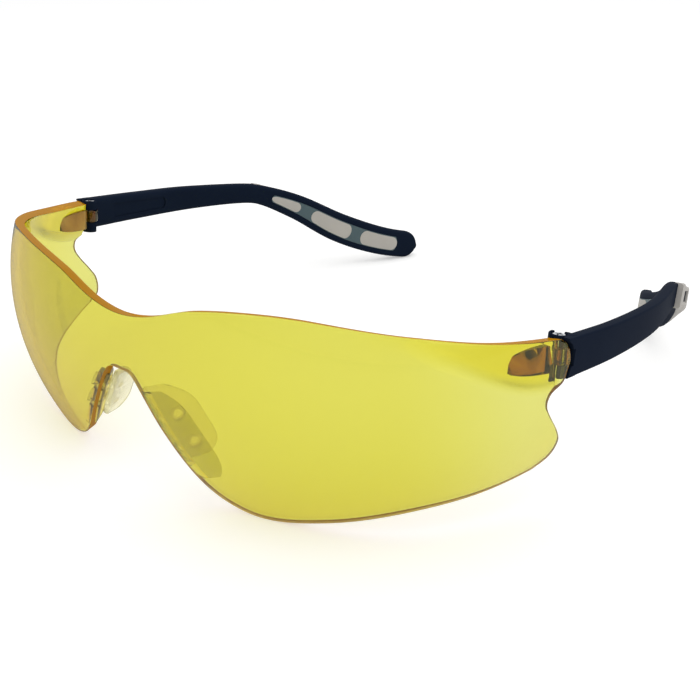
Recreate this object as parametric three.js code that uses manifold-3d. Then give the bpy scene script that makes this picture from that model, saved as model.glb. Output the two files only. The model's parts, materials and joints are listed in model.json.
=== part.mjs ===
// Wraparound safety glasses: one amber lens shield with two temples hinged on it.
// Millimetres, +Z up, +Y towards the ear ends of the temples, +X the wearer's left.
// Everything is laid out as worn, with level temples, round the waist of the left hinge
// barrel (y = 0, z = 0). The whole is then tipped until it rests on the table, z = 0.
import * as THREE from 'three';
import { mergeVertices } from 'three/addons/utils/BufferGeometryUtils.js';
import Module from 'manifold-3d';

const wasm = await Module();
wasm.setup();

// ---- Driving sizes -------------------------------------------------------------------

// Lens shield: its outer face lies on an oval barrel round the wearer's head.
const SHIELD_HALF_WIDTH = 76;
const SHIELD_DEPTH = 93;
const SHIELD_CENTRE_Y = 45;
const SHIELD_SQUARENESS = 3;
const SHIELD_WAIST_Z = -6.2;
const SHIELD_HEIGHT_RADIUS = 70;
const SHIELD_SIDE_PULL = 1.5;
const SHIELD_TILT = THREE.MathUtils.degToRad(8.5);
const LENS_THICKNESS = 2.2;
const SIDE_THINNING = 0.8;
const ENDPIECE_THICKENING = 0.9;

// Hinge: an amber barrel on the lens between the two lugs of the temple's fork.
const END_ANGLE = 58;
const HINGE_INSET = 3.1;
const BARREL_RADIUS = 2.1;
const BARREL_HEIGHT = 2.9;
const LUG_RADIUS = 2;
const UPPER_LUG_HEIGHT = 2.35;
const LOWER_LUG_HEIGHT = 2.55;
const RUNNING_CLEARANCE = 0.25;
const BOSS_END_GAP = 1;
const BOSS_NEAR_END = 1.5;
const BOSS_SWEEP = 7.2;
const BOSS_INNER_REACH = 2.5;
const BOSS_TIP_PROUD = 0.2;
const NECK_REACH = 1.3;
const BOSS_TOP = 2;
const BOSS_BOTTOM = -3;
const BOSS_SQUARENESS = 2.6;
const NECK_LAP = 0.3;

// Hinge screw.
const SCREW_RADIUS = 0.8;
const SCREW_HEAD_RADIUS = 1.4;
const SCREW_HEAD_HEIGHT = 0.8;
const SCREW_HEAD_RECESS = 0.25;
const SCREW_SLOT_LENGTH = 1.8;
const SCREW_SLOT_WIDTH = 0.4;
const SCREW_SLOT_DEPTH = 0.4;
const SCREW_BLIND_END = 0.7;
const SCREW_POINT = 0.25;
const HEAD_EDGE_DROP = 0.25;
const HEAD_EDGE_ROUND = 0.35;

// Temples.
const ARM_LENGTH = 60;
const ARM_OUTSET = 3.3;
const ARM_LEAD = 2.7;
const ARM_BOW = 1.1;
const ARM_TAPER_IN = 4.5;
const PADDLE_REACH = 51;
const PADDLE_TURN_IN = 26.3;
const PADDLE_DROP = 17.7;
const TEMPLE_THICKNESS = 3;
const TEMPLE_ROOT_HEIGHT = 8.1;
const TEMPLE_ARM_HEIGHT = 6.9;
const TEMPLE_NECK_HEIGHT = 5.7;
const TEMPLE_BEND_HEIGHT = 7.3;
const PADDLE_HEIGHT = 9.1;
const TIP_HEIGHT = 8.2;
const TEMPLE_INNER_ROUND = 1.3;
const TEMPLE_OUTER_ROUND = 0.4;
const TIP_ROUND = 4;
const RECESS_SPAN = [11, 30];
const RECESS_DEPTH = 0.35;
const RECESS_RIM = 1.9;
const CHEEK_START = 0.9;
const CHEEK_THICKNESS = 1.6;
const CHEEK_GAP = 0.35;
const CHEEK_LENS_FROM = -8;
const FORK_ROOT = 4.5;
const ROOT_LAP = 1.4;
const FORK_SIDE_LAP = 0.4;
const FORK_SHOULDER = 0.6;
const SLOT_MOUTH_HALF = 6;
// How far a cutting tool runs past the face it opens.
const CUT_PAST = 1;

// Grip, moulded over the ear end of each temple.
const GRIP_TIP_MARGIN = 7.6;
const WINDOW_LENGTHS = [10.9, 15, 12.2];
const BAR_WIDTHS = [4.4, 3.4];
const GRIP_RIM = 1.9;
const STRIP_DEPTH = 0.9;
const PAD_DEPTH = 0.8;
// How far the pad stands out of the temple, over the distance from the first window.
const PAD_PROUD = [[-6, 1.2], [3, 2.3], [20, 1], [45, 0.9]];
const PAD_LEAD = 6;
const PAD_RIM = 0.6;
const PAD_END_ROUND = 2.4;
const PAD_EDGE_ROUND = 0.7;
const STRIP_END_ROUND = 1;
const STRIP_PROUD = 0.1;
const FIRST_RIB_WIDTH = 3.6;
const RIB_OVERHANG = 0.2;
const RIB_SETBACK = 0.4;
const COLLAR_WIDTH = 2.5;
const COLLAR_PROUD = 0.05;
const COLLAR_DEPTH = 1.1;
const MOULD_GAP = 0.3;
const MOULD_LAP = 0.3;

// Nose fences on the lens and the soft pads plugged into them.
const FENCE_DEPTH = 6;
const FENCE_THICKNESS = 1.6;
const FENCE_SPLAY = THREE.MathUtils.degToRad(38);
const FENCE_ROOT = 1.2;
const PAD_THICKNESS = 1.3;
const PAD_FRONT_GAP = 0.5;
const NOSE_PAD_DEPTH = 9.3;
const NOSE_PAD_SPLAY = THREE.MathUtils.degToRad(19);
const PEG_RADIUS = 0.8;
const PEG_SETBACK = 3.9;
const PEG_HEAD_RADIUS = 1.35;
const PEG_HEAD_HEIGHT = 0.7;
const PEG_CLEARANCE = 0.3;
const PEG_PLACES = [0.24, 0.55];
const PAD_SPAN = [-0.06, 0.76];
const FIN_CORNER_CUT = 0.5;
const FIN_CORNER_POWER = 4;

// ---- Materials -----------------------------------------------------------------------

const amber = new THREE.MeshStandardMaterial({
  name: 'amber_polycarbonate', color: '#d9cf3e', roughness: 0.08, metalness: 0 });
const nylon = new THREE.MeshStandardMaterial({
  name: 'black_nylon', color: '#141c26', roughness: 0.45, metalness: 0 });
const gripRubber = new THREE.MeshStandardMaterial({
  name: 'grey_grip_rubber', color: '#a39e9b', roughness: 0.6, metalness: 0 });
const clearVinyl = new THREE.MeshStandardMaterial({
  name: 'clear_vinyl', color: '#dcdcc8', roughness: 0.25, metalness: 0 });
const chrome = new THREE.MeshStandardMaterial({
  name: 'chromed_steel', color: '#c8cacc', roughness: 0.15, metalness: 1 });

// ---- Small tools ---------------------------------------------------------------------

const SMALLEST_DETAIL = 0.005;

// Turns a closed three.js geometry into a manifold-3d solid.
function solidOf(geometry) {
  const bare = geometry.clone();
  bare.deleteAttribute('normal');
  bare.deleteAttribute('uv');
  const merged = mergeVertices(bare, 1e-4);
  return new wasm.Manifold(new wasm.Mesh({
    numProp: 3,
    vertProperties: new Float32Array(merged.attributes.position.array),
    triVerts: new Uint32Array(merged.index.array),
  }));
}

// A finished solid as a geometry, without the slivers that joins and cuts leave.
function geometryOf(solid) {
  const mesh = solid.asOriginal().simplify(SMALLEST_DETAIL).getMesh();
  const geometry = new THREE.BufferGeometry();
  geometry.setAttribute('position', new THREE.BufferAttribute(mesh.vertProperties, 3));
  geometry.setIndex(new THREE.BufferAttribute(mesh.triVerts, 1));
  geometry.computeVertexNormals();
  return geometry;
}

function geometryFrom(points, index) {
  const geometry = new THREE.BufferGeometry();
  geometry.setFromPoints(points);
  geometry.setIndex(index);
  geometry.computeVertexNormals();
  return geometry;
}

function flipped(geometry) {
  const index = geometry.index.array;
  for (let i = 0; i < index.length; i += 3) {
    [index[i], index[i + 1]] = [index[i + 1], index[i]];
  }
  return geometry;
}

// A closed body whose faces point outward, whichever way its points were listed.
function outward(geometry) {
  const p = geometry.attributes.position;
  const index = geometry.index.array;
  const [a, b, c] = [new THREE.Vector3(), new THREE.Vector3(), new THREE.Vector3()];
  let volume = 0;
  for (let i = 0; i < index.length; i += 3) {
    a.fromBufferAttribute(p, index[i]);
    b.fromBufferAttribute(p, index[i + 1]);
    c.fromBufferAttribute(p, index[i + 2]);
    volume += a.dot(b.cross(c));
  }
  return volume < 0 ? flipped(geometry) : geometry;
}

// Skins a row of closed rings of points, and fills the first and last ring.
function loft(rings) {
  const size = rings[0].length;
  const last = (rings.length - 1) * size;
  const index = [];
  for (let i = 0; i < rings.length - 1; i++) {
    for (let j = 0; j < size; j++) {
      const a = i * size + j;
      const b = i * size + (j + 1) % size;
      index.push(a, b, b + size, a, b + size, a + size);
    }
  }
  for (let j = 1; j < size - 1; j++) {
    index.push(0, j + 1, j);
    index.push(last, last + j, last + j + 1);
  }
  return outward(geometryFrom(rings.flat(), index));
}

// Closes two matching grids of points, an outer and an inner face, into one plate.
function plate(outer, inner) {
  const columns = outer.length;
  const rows = outer[0].length;
  const half = columns * rows;
  const at = (i, j, side) => side * half + i * rows + j;
  const index = [];
  const quad = (a, b, c, d) => index.push(a, b, c, a, c, d);
  for (let i = 0; i < columns - 1; i++) {
    for (let j = 0; j < rows - 1; j++) {
      quad(at(i, j, 0), at(i + 1, j, 0), at(i + 1, j + 1, 0), at(i, j + 1, 0));
      quad(at(i, j, 1), at(i, j + 1, 1), at(i + 1, j + 1, 1), at(i + 1, j, 1));
    }
    quad(at(i, 0, 0), at(i, 0, 1), at(i + 1, 0, 1), at(i + 1, 0, 0));
    quad(at(i, rows - 1, 0), at(i + 1, rows - 1, 0), at(i + 1, rows - 1, 1), at(i, rows - 1, 1));
  }
  for (let j = 0; j < rows - 1; j++) {
    quad(at(0, j, 0), at(0, j + 1, 0), at(0, j + 1, 1), at(0, j, 1));
    const end = columns - 1;
    quad(at(end, j, 0), at(end, j, 1), at(end, j + 1, 1), at(end, j + 1, 0));
  }
  return outward(geometryFrom([...outer.flat(2), ...inner.flat(2)], index));
}

// A smooth value through knots [place, value]; the places rise.
function smooth(knots, place) {
  const last = knots.length - 1;
  const at = THREE.MathUtils.clamp(place, knots[0][0], knots[last][0]);
  let i = 0;
  while (i < last - 1 && at > knots[i + 1][0]) i += 1;
  const slope = (k) => {
    const [a, b] = [knots[Math.max(k - 1, 0)], knots[Math.min(k + 1, last)]];
    return (b[1] - a[1]) / (b[0] - a[0]);
  };
  const [x0, y0] = knots[i];
  const [x1, y1] = knots[i + 1];
  const span = x1 - x0;
  const t = (at - x0) / span;
  const [t2, t3] = [t * t, t * t * t];
  return (2 * t3 - 3 * t2 + 1) * y0 + (t3 - 2 * t2 + t) * span * slope(i)
    + (3 * t2 - 2 * t3) * y1 + (t3 - t2) * span * slope(i + 1);
}

function mirrored(geometry) {
  return flipped(geometry.clone().scale(-1, 1, 1));
}

// An upright cylinder on a hinge or peg axis, from its bottom to its top height.
function upright(radius, bottom, top, x, y, sides = 28) {
  const geometry = new THREE.CylinderGeometry(radius, radius, top - bottom, sides);
  geometry.rotateX(Math.PI / 2).translate(x, y, (top + bottom) / 2);
  return geometry;
}

function extrudeUp(shape, bottom, top) {
  const geometry = new THREE.ExtrudeGeometry(shape, {
    depth: top - bottom, bevelEnabled: false, curveSegments: 10 });
  return geometry.translate(0, 0, bottom);
}

const outline = (points) => new wasm.CrossSection([points], 'NonZero');

// A body with the given [y, z] outline that reaches right across the left half.
function sideways(points) {
  return outline(points).extrude(SHIELD_HALF_WIDTH * 2).rotate([90, 0, 90]);
}

// ---- Lens shield ---------------------------------------------------------------------

// A point on the shield's outer face, by its angle round the head (degrees from the
// brow) and its height on the tilted shield.
function shieldPoint(angle, height) {
  const turn = THREE.MathUtils.degToRad(angle);
  const rise = height - SHIELD_WAIST_Z;
  const sag = SHIELD_HEIGHT_RADIUS - Math.sqrt(SHIELD_HEIGHT_RADIUS ** 2 - rise ** 2);
  const across = Math.abs(Math.sin(turn)) / (SHIELD_HALF_WIDTH - SHIELD_SIDE_PULL * sag);
  const along = Math.cos(turn) / (SHIELD_DEPTH - sag);
  const reach = (across ** SHIELD_SQUARENESS + along ** SHIELD_SQUARENESS)
    ** (-1 / SHIELD_SQUARENESS);
  const y = SHIELD_CENTRE_Y - reach * Math.cos(turn);
  return new THREE.Vector3(
    reach * Math.sin(turn),
    y * Math.cos(SHIELD_TILT) - height * Math.sin(SHIELD_TILT),
    y * Math.sin(SHIELD_TILT) + height * Math.cos(SHIELD_TILT));
}

// The direction from the outer face into the lens.
function inwardAt(angle, height) {
  const step = 0.05;
  const round = shieldPoint(angle + step, height).sub(shieldPoint(angle - step, height));
  const up = shieldPoint(angle, height + step).sub(shieldPoint(angle, height - step));
  return up.cross(round).normalize();
}

// Outline of the left half, as heights over the angle. The first pair of each is the
// mirror image of a later one, so that the edges cross the middle level.
const LENS_FOOT = [53.7, -23.3];
const LENS_HEAD = [56.6, 4.1];
const TOP_EDGE = [[-5, 7.8], [0, 6.7], [5, 7.8], [12, 11.3], [20, 13.1], [27, 13], [38, 10.15],
  [48, 6.6], LENS_HEAD];
const ARCH_AND_NOSE = [[-2, -5.3], [0, -4.9], [2, -5.3], [3.6, -8.4], [6.7, -16.3],
  [10.8, -25.2], [14.5, -29.5], [19.5, -31.4], [28, -29.3], [38, -26.3], [47, -24.8], LENS_FOOT];
// The side edge, from the foot of the lobe up through the notch to the hinge end.
const SIDE_EDGE = [LENS_FOOT, [56.2, -21.5], [57.3, -18], [56.6, -14.8], [55.2, -11],
  [54.4, -8], [55, -5.6], [56.7, -4.3], [57.4, -2.4], [END_ANGLE, 0], [57.6, 2.6], LENS_HEAD];
// Line of the soft step where the thicker hinge end begins.
const END_CREASE = [[36, 9], [42, 5], [48, -0.3], [52, -3.1], [57, -4.6]];
const CREASE_HALF_WIDTH = 1;
const CREASE_FADE_IN = [36, 42];
const SIDE_THINS_OVER = [34, 54];
// Columns crowd towards the nose, and the last fifth of them bends to the side edge.
const COLUMNS = 26;
const FOOT_CROWDING = 1.6;
const HEAD_CROWDING = 1.4;
const SIDE_COLUMNS_START = 0.8;
const SIDE_ROW_STEP = 1.6;

// The lens thins towards its sides, but for the thicker hinge end above the crease.
function lensThickness(angle, height) {
  const bend = THREE.MathUtils.smoothstep;
  const aboveCrease = height - smooth(END_CREASE, angle);
  const inEnd = bend(aboveCrease, -CREASE_HALF_WIDTH, CREASE_HALF_WIDTH);
  return LENS_THICKNESS - SIDE_THINNING * bend(angle, ...SIDE_THINS_OVER) * (1 - inEnd)
    + ENDPIECE_THICKENING * bend(angle, ...CREASE_FADE_IN) * inEnd;
}

// Grid of [angle, height] pairs over the left half, straight columns near the nose that
// bend to the side edge near the temple.
function lensGrid() {
  const grid = [];
  for (let i = 0; i <= COLUMNS; i++) {
    const u = i / COLUMNS;
    const foot = LENS_FOOT[0] * THREE.MathUtils.lerp(u, u ** FOOT_CROWDING, 0.65);
    const head = LENS_HEAD[0] * THREE.MathUtils.lerp(u, u ** HEAD_CROWDING, 0.45);
    const pull = Math.max(0, (u - SIDE_COLUMNS_START) / (1 - SIDE_COLUMNS_START)) ** 1.5;
    const low = smooth(ARCH_AND_NOSE, foot);
    const high = smooth(TOP_EDGE, head);
    grid.push(sideRows().map(([angle, height]) => {
      const v = (height - LENS_FOOT[1]) / (LENS_HEAD[1] - LENS_FOOT[1]);
      const chord = THREE.MathUtils.lerp(LENS_FOOT[0], LENS_HEAD[0], v);
      const straight = THREE.MathUtils.lerp(foot, head, v);
      return [straight + pull * (angle - chord), THREE.MathUtils.lerp(low, high, v)];
    }));
  }
  return grid;
}

// The side edge as a smooth run of points, one for each row of the grid.
function sideRows() {
  const rows = [];
  for (let i = 0; i < SIDE_EDGE.length - 1; i++) {
    const [from, to] = [SIDE_EDGE[i][1], SIDE_EDGE[i + 1][1]];
    const steps = Math.max(1, Math.round((to - from) / SIDE_ROW_STEP));
    for (let k = 0; k < steps; k++) rows.push(from + (to - from) * k / steps);
  }
  rows.push(SIDE_EDGE.at(-1)[1]);
  const byHeight = SIDE_EDGE.map(([angle, height]) => [height, angle]);
  return rows.map((height) => [smooth(byHeight, height), height]);
}

function lensShell() {
  const half = lensGrid();
  const mirrorColumn = (column) => column.map(([angle, height]) => [-angle, height]);
  const cells = [...half.slice(1).reverse().map(mirrorColumn), ...half];
  const outer = cells.map((column) => column.map(([a, h]) => shieldPoint(a, h)));
  const inner = cells.map((column, i) => column.map(([a, h], j) => {
    const into = inwardAt(a, h).multiplyScalar(lensThickness(Math.abs(a), h));
    return outer[i][j].clone().add(into);
  }));
  return solidOf(plate(outer, inner));
}

// A point of the lens's inner face on the left half.
function innerPoint(angle, height) {
  const into = inwardAt(angle, height).multiplyScalar(LENS_THICKNESS);
  return shieldPoint(angle, height).add(into);
}

// ---- Hinge places --------------------------------------------------------------------

const lensEnd = shieldPoint(END_ANGLE, 0);
const HINGE_X = lensEnd.x - HINGE_INSET;
const HINGE_Y = lensEnd.y;
const SLOT_HALF = BARREL_HEIGHT / 2 + RUNNING_CLEARANCE;
const FORK_TOP = SLOT_HALF + UPPER_LUG_HEIGHT;
const FORK_BOTTOM = -SLOT_HALF - LOWER_LUG_HEIGHT;
const BORE_RADIUS = SCREW_RADIUS + RUNNING_CLEARANCE;
const HEAD_TOP = FORK_TOP - SCREW_HEAD_RECESS;
const HEAD_BOTTOM = HEAD_TOP - SCREW_HEAD_HEIGHT;
const SCREW_END = FORK_BOTTOM + SCREW_BLIND_END;

// A point in the middle of the lens's thickness, some degrees in front of its hinge end.
function midSkin(degreesAhead) {
  const angle = END_ANGLE - degreesAhead;
  return shieldPoint(angle, 0).addScaledVector(inwardAt(angle, 0), LENS_THICKNESS / 2);
}

// The wedge's side view: tall at the hinge and round at its far end.
function bossSideView(from, to) {
  const middle = (BOSS_TOP + BOSS_BOTTOM) / 2;
  const steps = 12;
  const edge = (half) => Array.from({ length: steps + 1 }, (_, k) => {
    const turn = k / steps * Math.PI / 2;
    return [from + (to - from) * Math.sin(turn) ** (2 / BOSS_SQUARENESS),
      middle + half * Math.max(0, Math.cos(turn)) ** (2 / BOSS_SQUARENESS)];
  });
  return [...edge(BOSS_TOP - middle), ...edge(BOSS_BOTTOM - middle).reverse().slice(1)];
}

// The wedge on the lens's inner face, and the barrel with the neck that joins it to the
// wedge and to the lens's end.
function hingeKnuckle() {
  const end = HINGE_Y - LUG_RADIUS - BOSS_END_GAP;
  const depth = LENS_THICKNESS / 2;
  const near = midSkin(BOSS_NEAR_END);
  const middle = midSkin(BOSS_NEAR_END + BOSS_SWEEP / 2);
  const far = midSkin(BOSS_NEAR_END + BOSS_SWEEP);
  const tip = far.clone().addScaledVector(inwardAt(END_ANGLE - BOSS_NEAR_END - BOSS_SWEEP, 0),
    depth + ENDPIECE_THICKENING + BOSS_TIP_PROUD);
  const wedge = outline([[near.x, end], [middle.x, middle.y], [far.x, far.y],
    [tip.x, tip.y], [HINGE_X - BOSS_INNER_REACH, end]]);
  const neck = outline([[HINGE_X, HINGE_Y - BARREL_RADIUS + NECK_LAP],
    [HINGE_X - NECK_REACH, end - NECK_LAP], [near.x, end - NECK_LAP], [lensEnd.x - depth, HINGE_Y],
    [HINGE_X, HINGE_Y + BARREL_RADIUS - NECK_LAP]]);
  const barrel = wasm.CrossSection.circle(BARREL_RADIUS, 28).translate([HINGE_X, HINGE_Y]);
  const boss = wedge.extrude(BOSS_TOP - BOSS_BOTTOM).translate([0, 0, BOSS_BOTTOM])
    .intersect(sideways(bossSideView(end, far.y)));
  return neck.add(barrel).extrude(BARREL_HEIGHT).translate([0, 0, -BARREL_HEIGHT / 2])
    .add(boss);
}

// Room for the fork's round lugs inside the thin end of the lens.
function lugPocket() {
  const radius = LUG_RADIUS + RUNNING_CLEARANCE;
  const past = CUT_PAST * 4;
  const floor = BARREL_HEIGHT / 2 - NECK_LAP;
  const above = upright(radius, floor, FORK_TOP + past, HINGE_X, HINGE_Y);
  const below = upright(radius, FORK_BOTTOM - past, -floor, HINGE_X, HINGE_Y);
  return solidOf(above).add(solidOf(below));
}

// ---- Nose fences and pads ------------------------------------------------------------

const NOSE_TOP_HEIGHT = -8.6;
const NOSE_FOOT_HEIGHT = -25.6;
const NOSE_ROWS = 9;
const NOSE_EDGE = ARCH_AND_NOSE.filter(([angle]) => angle > 1 && angle < 15)
  .map(([angle, height]) => [height, angle]).reverse();

// The nasal edge on the lens's inner face, from the arch (0) down to the foot (1).
function noseLine(t) {
  const height = THREE.MathUtils.lerp(NOSE_TOP_HEIGHT, NOSE_FOOT_HEIGHT, t);
  return innerPoint(smooth(NOSE_EDGE, height), height);
}

const fenceBack = new THREE.Vector3(Math.sin(FENCE_SPLAY), Math.cos(FENCE_SPLAY), 0);
const padBack = new THREE.Vector3(Math.sin(NOSE_PAD_SPLAY), Math.cos(NOSE_PAD_SPLAY), 0);

// The direction square to a fin at a place on the nasal edge, away from the nose.
function finOut(back, t) {
  const down = noseLine(t + 0.02).sub(noseLine(t - 0.02));
  return down.cross(back).normalize();
}

// A fin that follows the nasal edge between two places on it: front and reach are where
// it starts and ends along back, near and far are its faces, square to it.
function noseFin(back, front, reach, near, far, from, to) {
  const rings = [];
  for (let i = 0; i <= NOSE_ROWS; i++) {
    const t = THREE.MathUtils.lerp(from, to, i / NOSE_ROWS);
    const base = noseLine(t);
    const out = finOut(back, t);
    const corner = (along, across) => base.clone()
      .addScaledVector(back, along).addScaledVector(out, across);
    const nearEnd = Math.abs(2 * i / NOSE_ROWS - 1) ** FIN_CORNER_POWER;
    const depth = reach * (1 - nearEnd * FIN_CORNER_CUT);
    rings.push([corner(front, near), corner(depth, near), corner(depth, far),
      corner(front, far)]);
  }
  return solidOf(loft(rings));
}

// A round pin square to the fence, from one distance off its nose side to another.
function peg(t, radius, from, to) {
  const geometry = new THREE.CylinderGeometry(radius, radius, to - from, 20);
  geometry.translate(0, (from + to) / 2, 0);
  const out = finOut(fenceBack, t);
  const turn = new THREE.Quaternion().setFromUnitVectors(new THREE.Vector3(0, 1, 0), out);
  const at = noseLine(t).addScaledVector(fenceBack, PEG_SETBACK);
  return solidOf(geometry.applyQuaternion(turn).translate(at.x, at.y, at.z));
}

function noseFence() {
  const fin = noseFin(fenceBack, -FENCE_ROOT, FENCE_DEPTH, 0, FENCE_THICKNESS, 0, 1);
  const holes = PEG_PLACES.map((t) => peg(t, PEG_RADIUS + PEG_CLEARANCE,
    -FENCE_THICKNESS, FENCE_THICKNESS * 2));
  return holes.reduce((whole, hole) => whole.subtract(hole), fin);
}

// A soft fin beside the nose, with two pegs whose heads hold it behind the fence.
function nosePad() {
  const fin = noseFin(padBack, PAD_FRONT_GAP, NOSE_PAD_DEPTH, -MOULD_GAP - PAD_THICKNESS,
    -MOULD_GAP, PAD_SPAN[0], PAD_SPAN[1]);
  const toFin = PEG_SETBACK * Math.tan(FENCE_SPLAY - NOSE_PAD_SPLAY) + PAD_THICKNESS;
  const headFrom = FENCE_THICKNESS + MOULD_GAP;
  const pegs = PEG_PLACES.map((t) => peg(t, PEG_RADIUS, -toFin, headFrom + PEG_HEAD_HEIGHT));
  const heads = PEG_PLACES.map((t) => peg(t, PEG_HEAD_RADIUS, headFrom,
    headFrom + PEG_HEAD_HEIGHT));
  return [...pegs, ...heads].reduce((whole, piece) => whole.add(piece), fin);
}

// ---- Temples -------------------------------------------------------------------------

// The temple's outer face at mid height, from the hinge round the ear.
const armStart = new THREE.Vector3(HINGE_X + ARM_OUTSET, HINGE_Y - ARM_LEAD, 0);
const armPoint = (share, outset, height) => new THREE.Vector3(
  armStart.x + outset, armStart.y + ARM_LENGTH * share, height);
const bendStart = armPoint(1, -ARM_TAPER_IN, 0.3);
const paddlePoint = (inward, back, drop) => new THREE.Vector3(
  bendStart.x - inward * PADDLE_TURN_IN,
  bendStart.y + back * PADDLE_REACH,
  bendStart.z - drop * PADDLE_DROP);
const templePath = new THREE.CatmullRomCurve3([
  armStart,
  armPoint(1 / 3, ARM_BOW, 0.1),
  armPoint(2 / 3, 0.1, 0.4),
  bendStart,
  paddlePoint(0.05, 0.09, 0.05),
  paddlePoint(0.22, 0.315, 0.29),
  paddlePoint(0.495, 0.56, 0.665),
  paddlePoint(0.82, 0.79, 0.9),
  paddlePoint(1, 1, 1),
], false, 'centripetal');
const TEMPLE_RUN = templePath.getLength();

const gripEnd = TEMPLE_RUN - GRIP_TIP_MARGIN;
const gripStart = gripEnd - [...WINDOW_LENGTHS, ...BAR_WIDTHS].reduce((a, b) => a + b);
const NECK_AT = gripStart - 5;
const PADDLE_AT = gripStart + 33;
const HEIGHTS = [[0, TEMPLE_ROOT_HEIGHT], [NECK_AT / 2, TEMPLE_ARM_HEIGHT],
  [NECK_AT, TEMPLE_NECK_HEIGHT], [gripStart + 8, TEMPLE_BEND_HEIGHT],
  [PADDLE_AT - 11, PADDLE_HEIGHT - 0.3], [PADDLE_AT, PADDLE_HEIGHT], [TEMPLE_RUN, TIP_HEIGHT]];
const templeHeight = (s) => smooth(HEIGHTS, s);

// Frame of the temple at a distance along it: the outer face's point, inward and up.
function templeFrame(s) {
  const u = THREE.MathUtils.clamp(s / TEMPLE_RUN, 0, 1);
  const along = templePath.getTangentAt(u);
  const inward = new THREE.Vector3(-along.y, along.x, 0).normalize();
  const up = along.clone().cross(inward).normalize();
  const at = templePath.getPointAt(u).addScaledVector(along, s - u * TEMPLE_RUN);
  return { at, inward, up: up.z < 0 ? up.negate() : up };
}

// A rounded rectangle in the temple's section: across from the outer face inward, and up.
function section(s, outer, inner, low, high, outerRound, innerRound) {
  const { at, inward, up } = templeFrame(s);
  const limit = Math.min(inner - outer, high - low) * 0.45;
  const arcs = [
    [outer, low, outerRound, Math.PI, 1, 1],
    [inner, low, innerRound, Math.PI * 1.5, -1, 1],
    [inner, high, innerRound, 0, -1, -1],
    [outer, high, outerRound, Math.PI / 2, 1, -1],
  ];
  return arcs.flatMap(([across, height, wanted, start, sx, sy]) => {
    const radius = Math.min(wanted, limit);
    const steps = wanted > 0 ? 3 : 0;
    const cx = across + sx * radius;
    const cy = height + sy * radius;
    return Array.from({ length: steps + 1 }, (_, k) => {
      const angle = start + (steps ? k / steps : 0) * Math.PI / 2;
      const reach = steps ? radius : 0;
      const px = steps ? cx + reach * Math.cos(angle) : across;
      const py = steps ? cy + reach * Math.sin(angle) : height;
      return at.clone().addScaledVector(inward, px).addScaledVector(up, py);
    });
  });
}

// Distances along the temple for a body whose two ends may be rounded.
function stations(from, to, headRound, tailRound, step) {
  const angles = [0.45, 0.8, 1.15];
  const head = angles.map((a) => from + headRound * (1 - Math.cos(a)));
  const tail = angles.map((a) => to - tailRound * (1 - Math.cos(a))).reverse();
  const [start, end] = [from + headRound, to - tailRound];
  const count = Math.max(1, Math.round((end - start) / step));
  const middle = Array.from({ length: count + 1 }, (_, k) => start + (end - start) * k / count);
  return [...(headRound ? head : []), ...middle, ...(tailRound ? tail : [])];
}

// Half height factor that rounds an end in side view, by the distance from that end.
function endRound(depth, round) {
  return depth < round ? Math.sqrt(1 - ((round - depth) / round) ** 2) : 1;
}

// A body along the temple between two faces. Its half height varies, and so may the
// distance its outer face stands proud.
function along(from, to, outer, inner, half, options = {}) {
  const { round = 0, step = 5, outerRound = 0, innerRound = 0, proud = () => 0 } = options;
  const { headRound = round, tailRound = round } = options;
  const rings = stations(from, to, headRound, tailRound, step).map((s) => {
    const h = half(s) * endRound(s - from, headRound) * endRound(to - s, tailRound);
    return section(s, outer - proud(s), inner, -h, h, outerRound, innerRound);
  });
  return solidOf(loft(rings));
}

const windowHalf = (s) => templeHeight(s) / 2 - GRIP_RIM;
const padHalf = (s) => templeHeight(s) / 2 - PAD_RIM;
const windows = WINDOW_LENGTHS.map((length, i) => {
  const before = [...WINDOW_LENGTHS.slice(0, i), ...BAR_WIDTHS.slice(0, i)];
  const from = gripStart + before.reduce((a, b) => a + b, 0);
  return [from, from + length];
});
const padStart = gripStart - PAD_LEAD;
const padEnd = gripEnd + GRIP_RIM;
const padProud = (s) => smooth(PAD_PROUD, s - gripStart);
const ribProud = (s) => padProud(s) - RIB_SETBACK;
const PAST_THE_PAD = CUT_PAST * 4;
// The pad begins as a collar that wraps over the neck's top and bottom edges.
const collarEnd = padStart + COLLAR_WIDTH;
const collarHalf = (s) => templeHeight(s) / 2 + COLLAR_PROUD;
const ribs = [[gripStart - FIRST_RIB_WIDTH, gripStart], ...BAR_WIDTHS.map((width, i) => [
  windows[i][1], windows[i][1] + width])];

// Both lugs of the fork as one round-nosed block; the slot is cut between them later.
function forkBlock() {
  const root = templeFrame(FORK_ROOT);
  const outer = root.at.clone().addScaledVector(root.inward, FORK_SIDE_LAP);
  const inner = root.at.clone().addScaledVector(root.inward, TEMPLE_THICKNESS - FORK_SIDE_LAP);
  const block = new THREE.Shape();
  block.moveTo(HINGE_X + LUG_RADIUS, HINGE_Y);
  block.absarc(HINGE_X, HINGE_Y, LUG_RADIUS, 0, Math.PI, true);
  block.lineTo(HINGE_X - LUG_RADIUS, HINGE_Y + FORK_SHOULDER);
  block.lineTo(inner.x, inner.y);
  block.lineTo(outer.x, outer.y);
  block.lineTo(HINGE_X + LUG_RADIUS + FORK_SHOULDER, HINGE_Y + FORK_SHOULDER);
  block.closePath();
  return solidOf(extrudeUp(block, FORK_BOTTOM, FORK_TOP));
}

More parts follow.
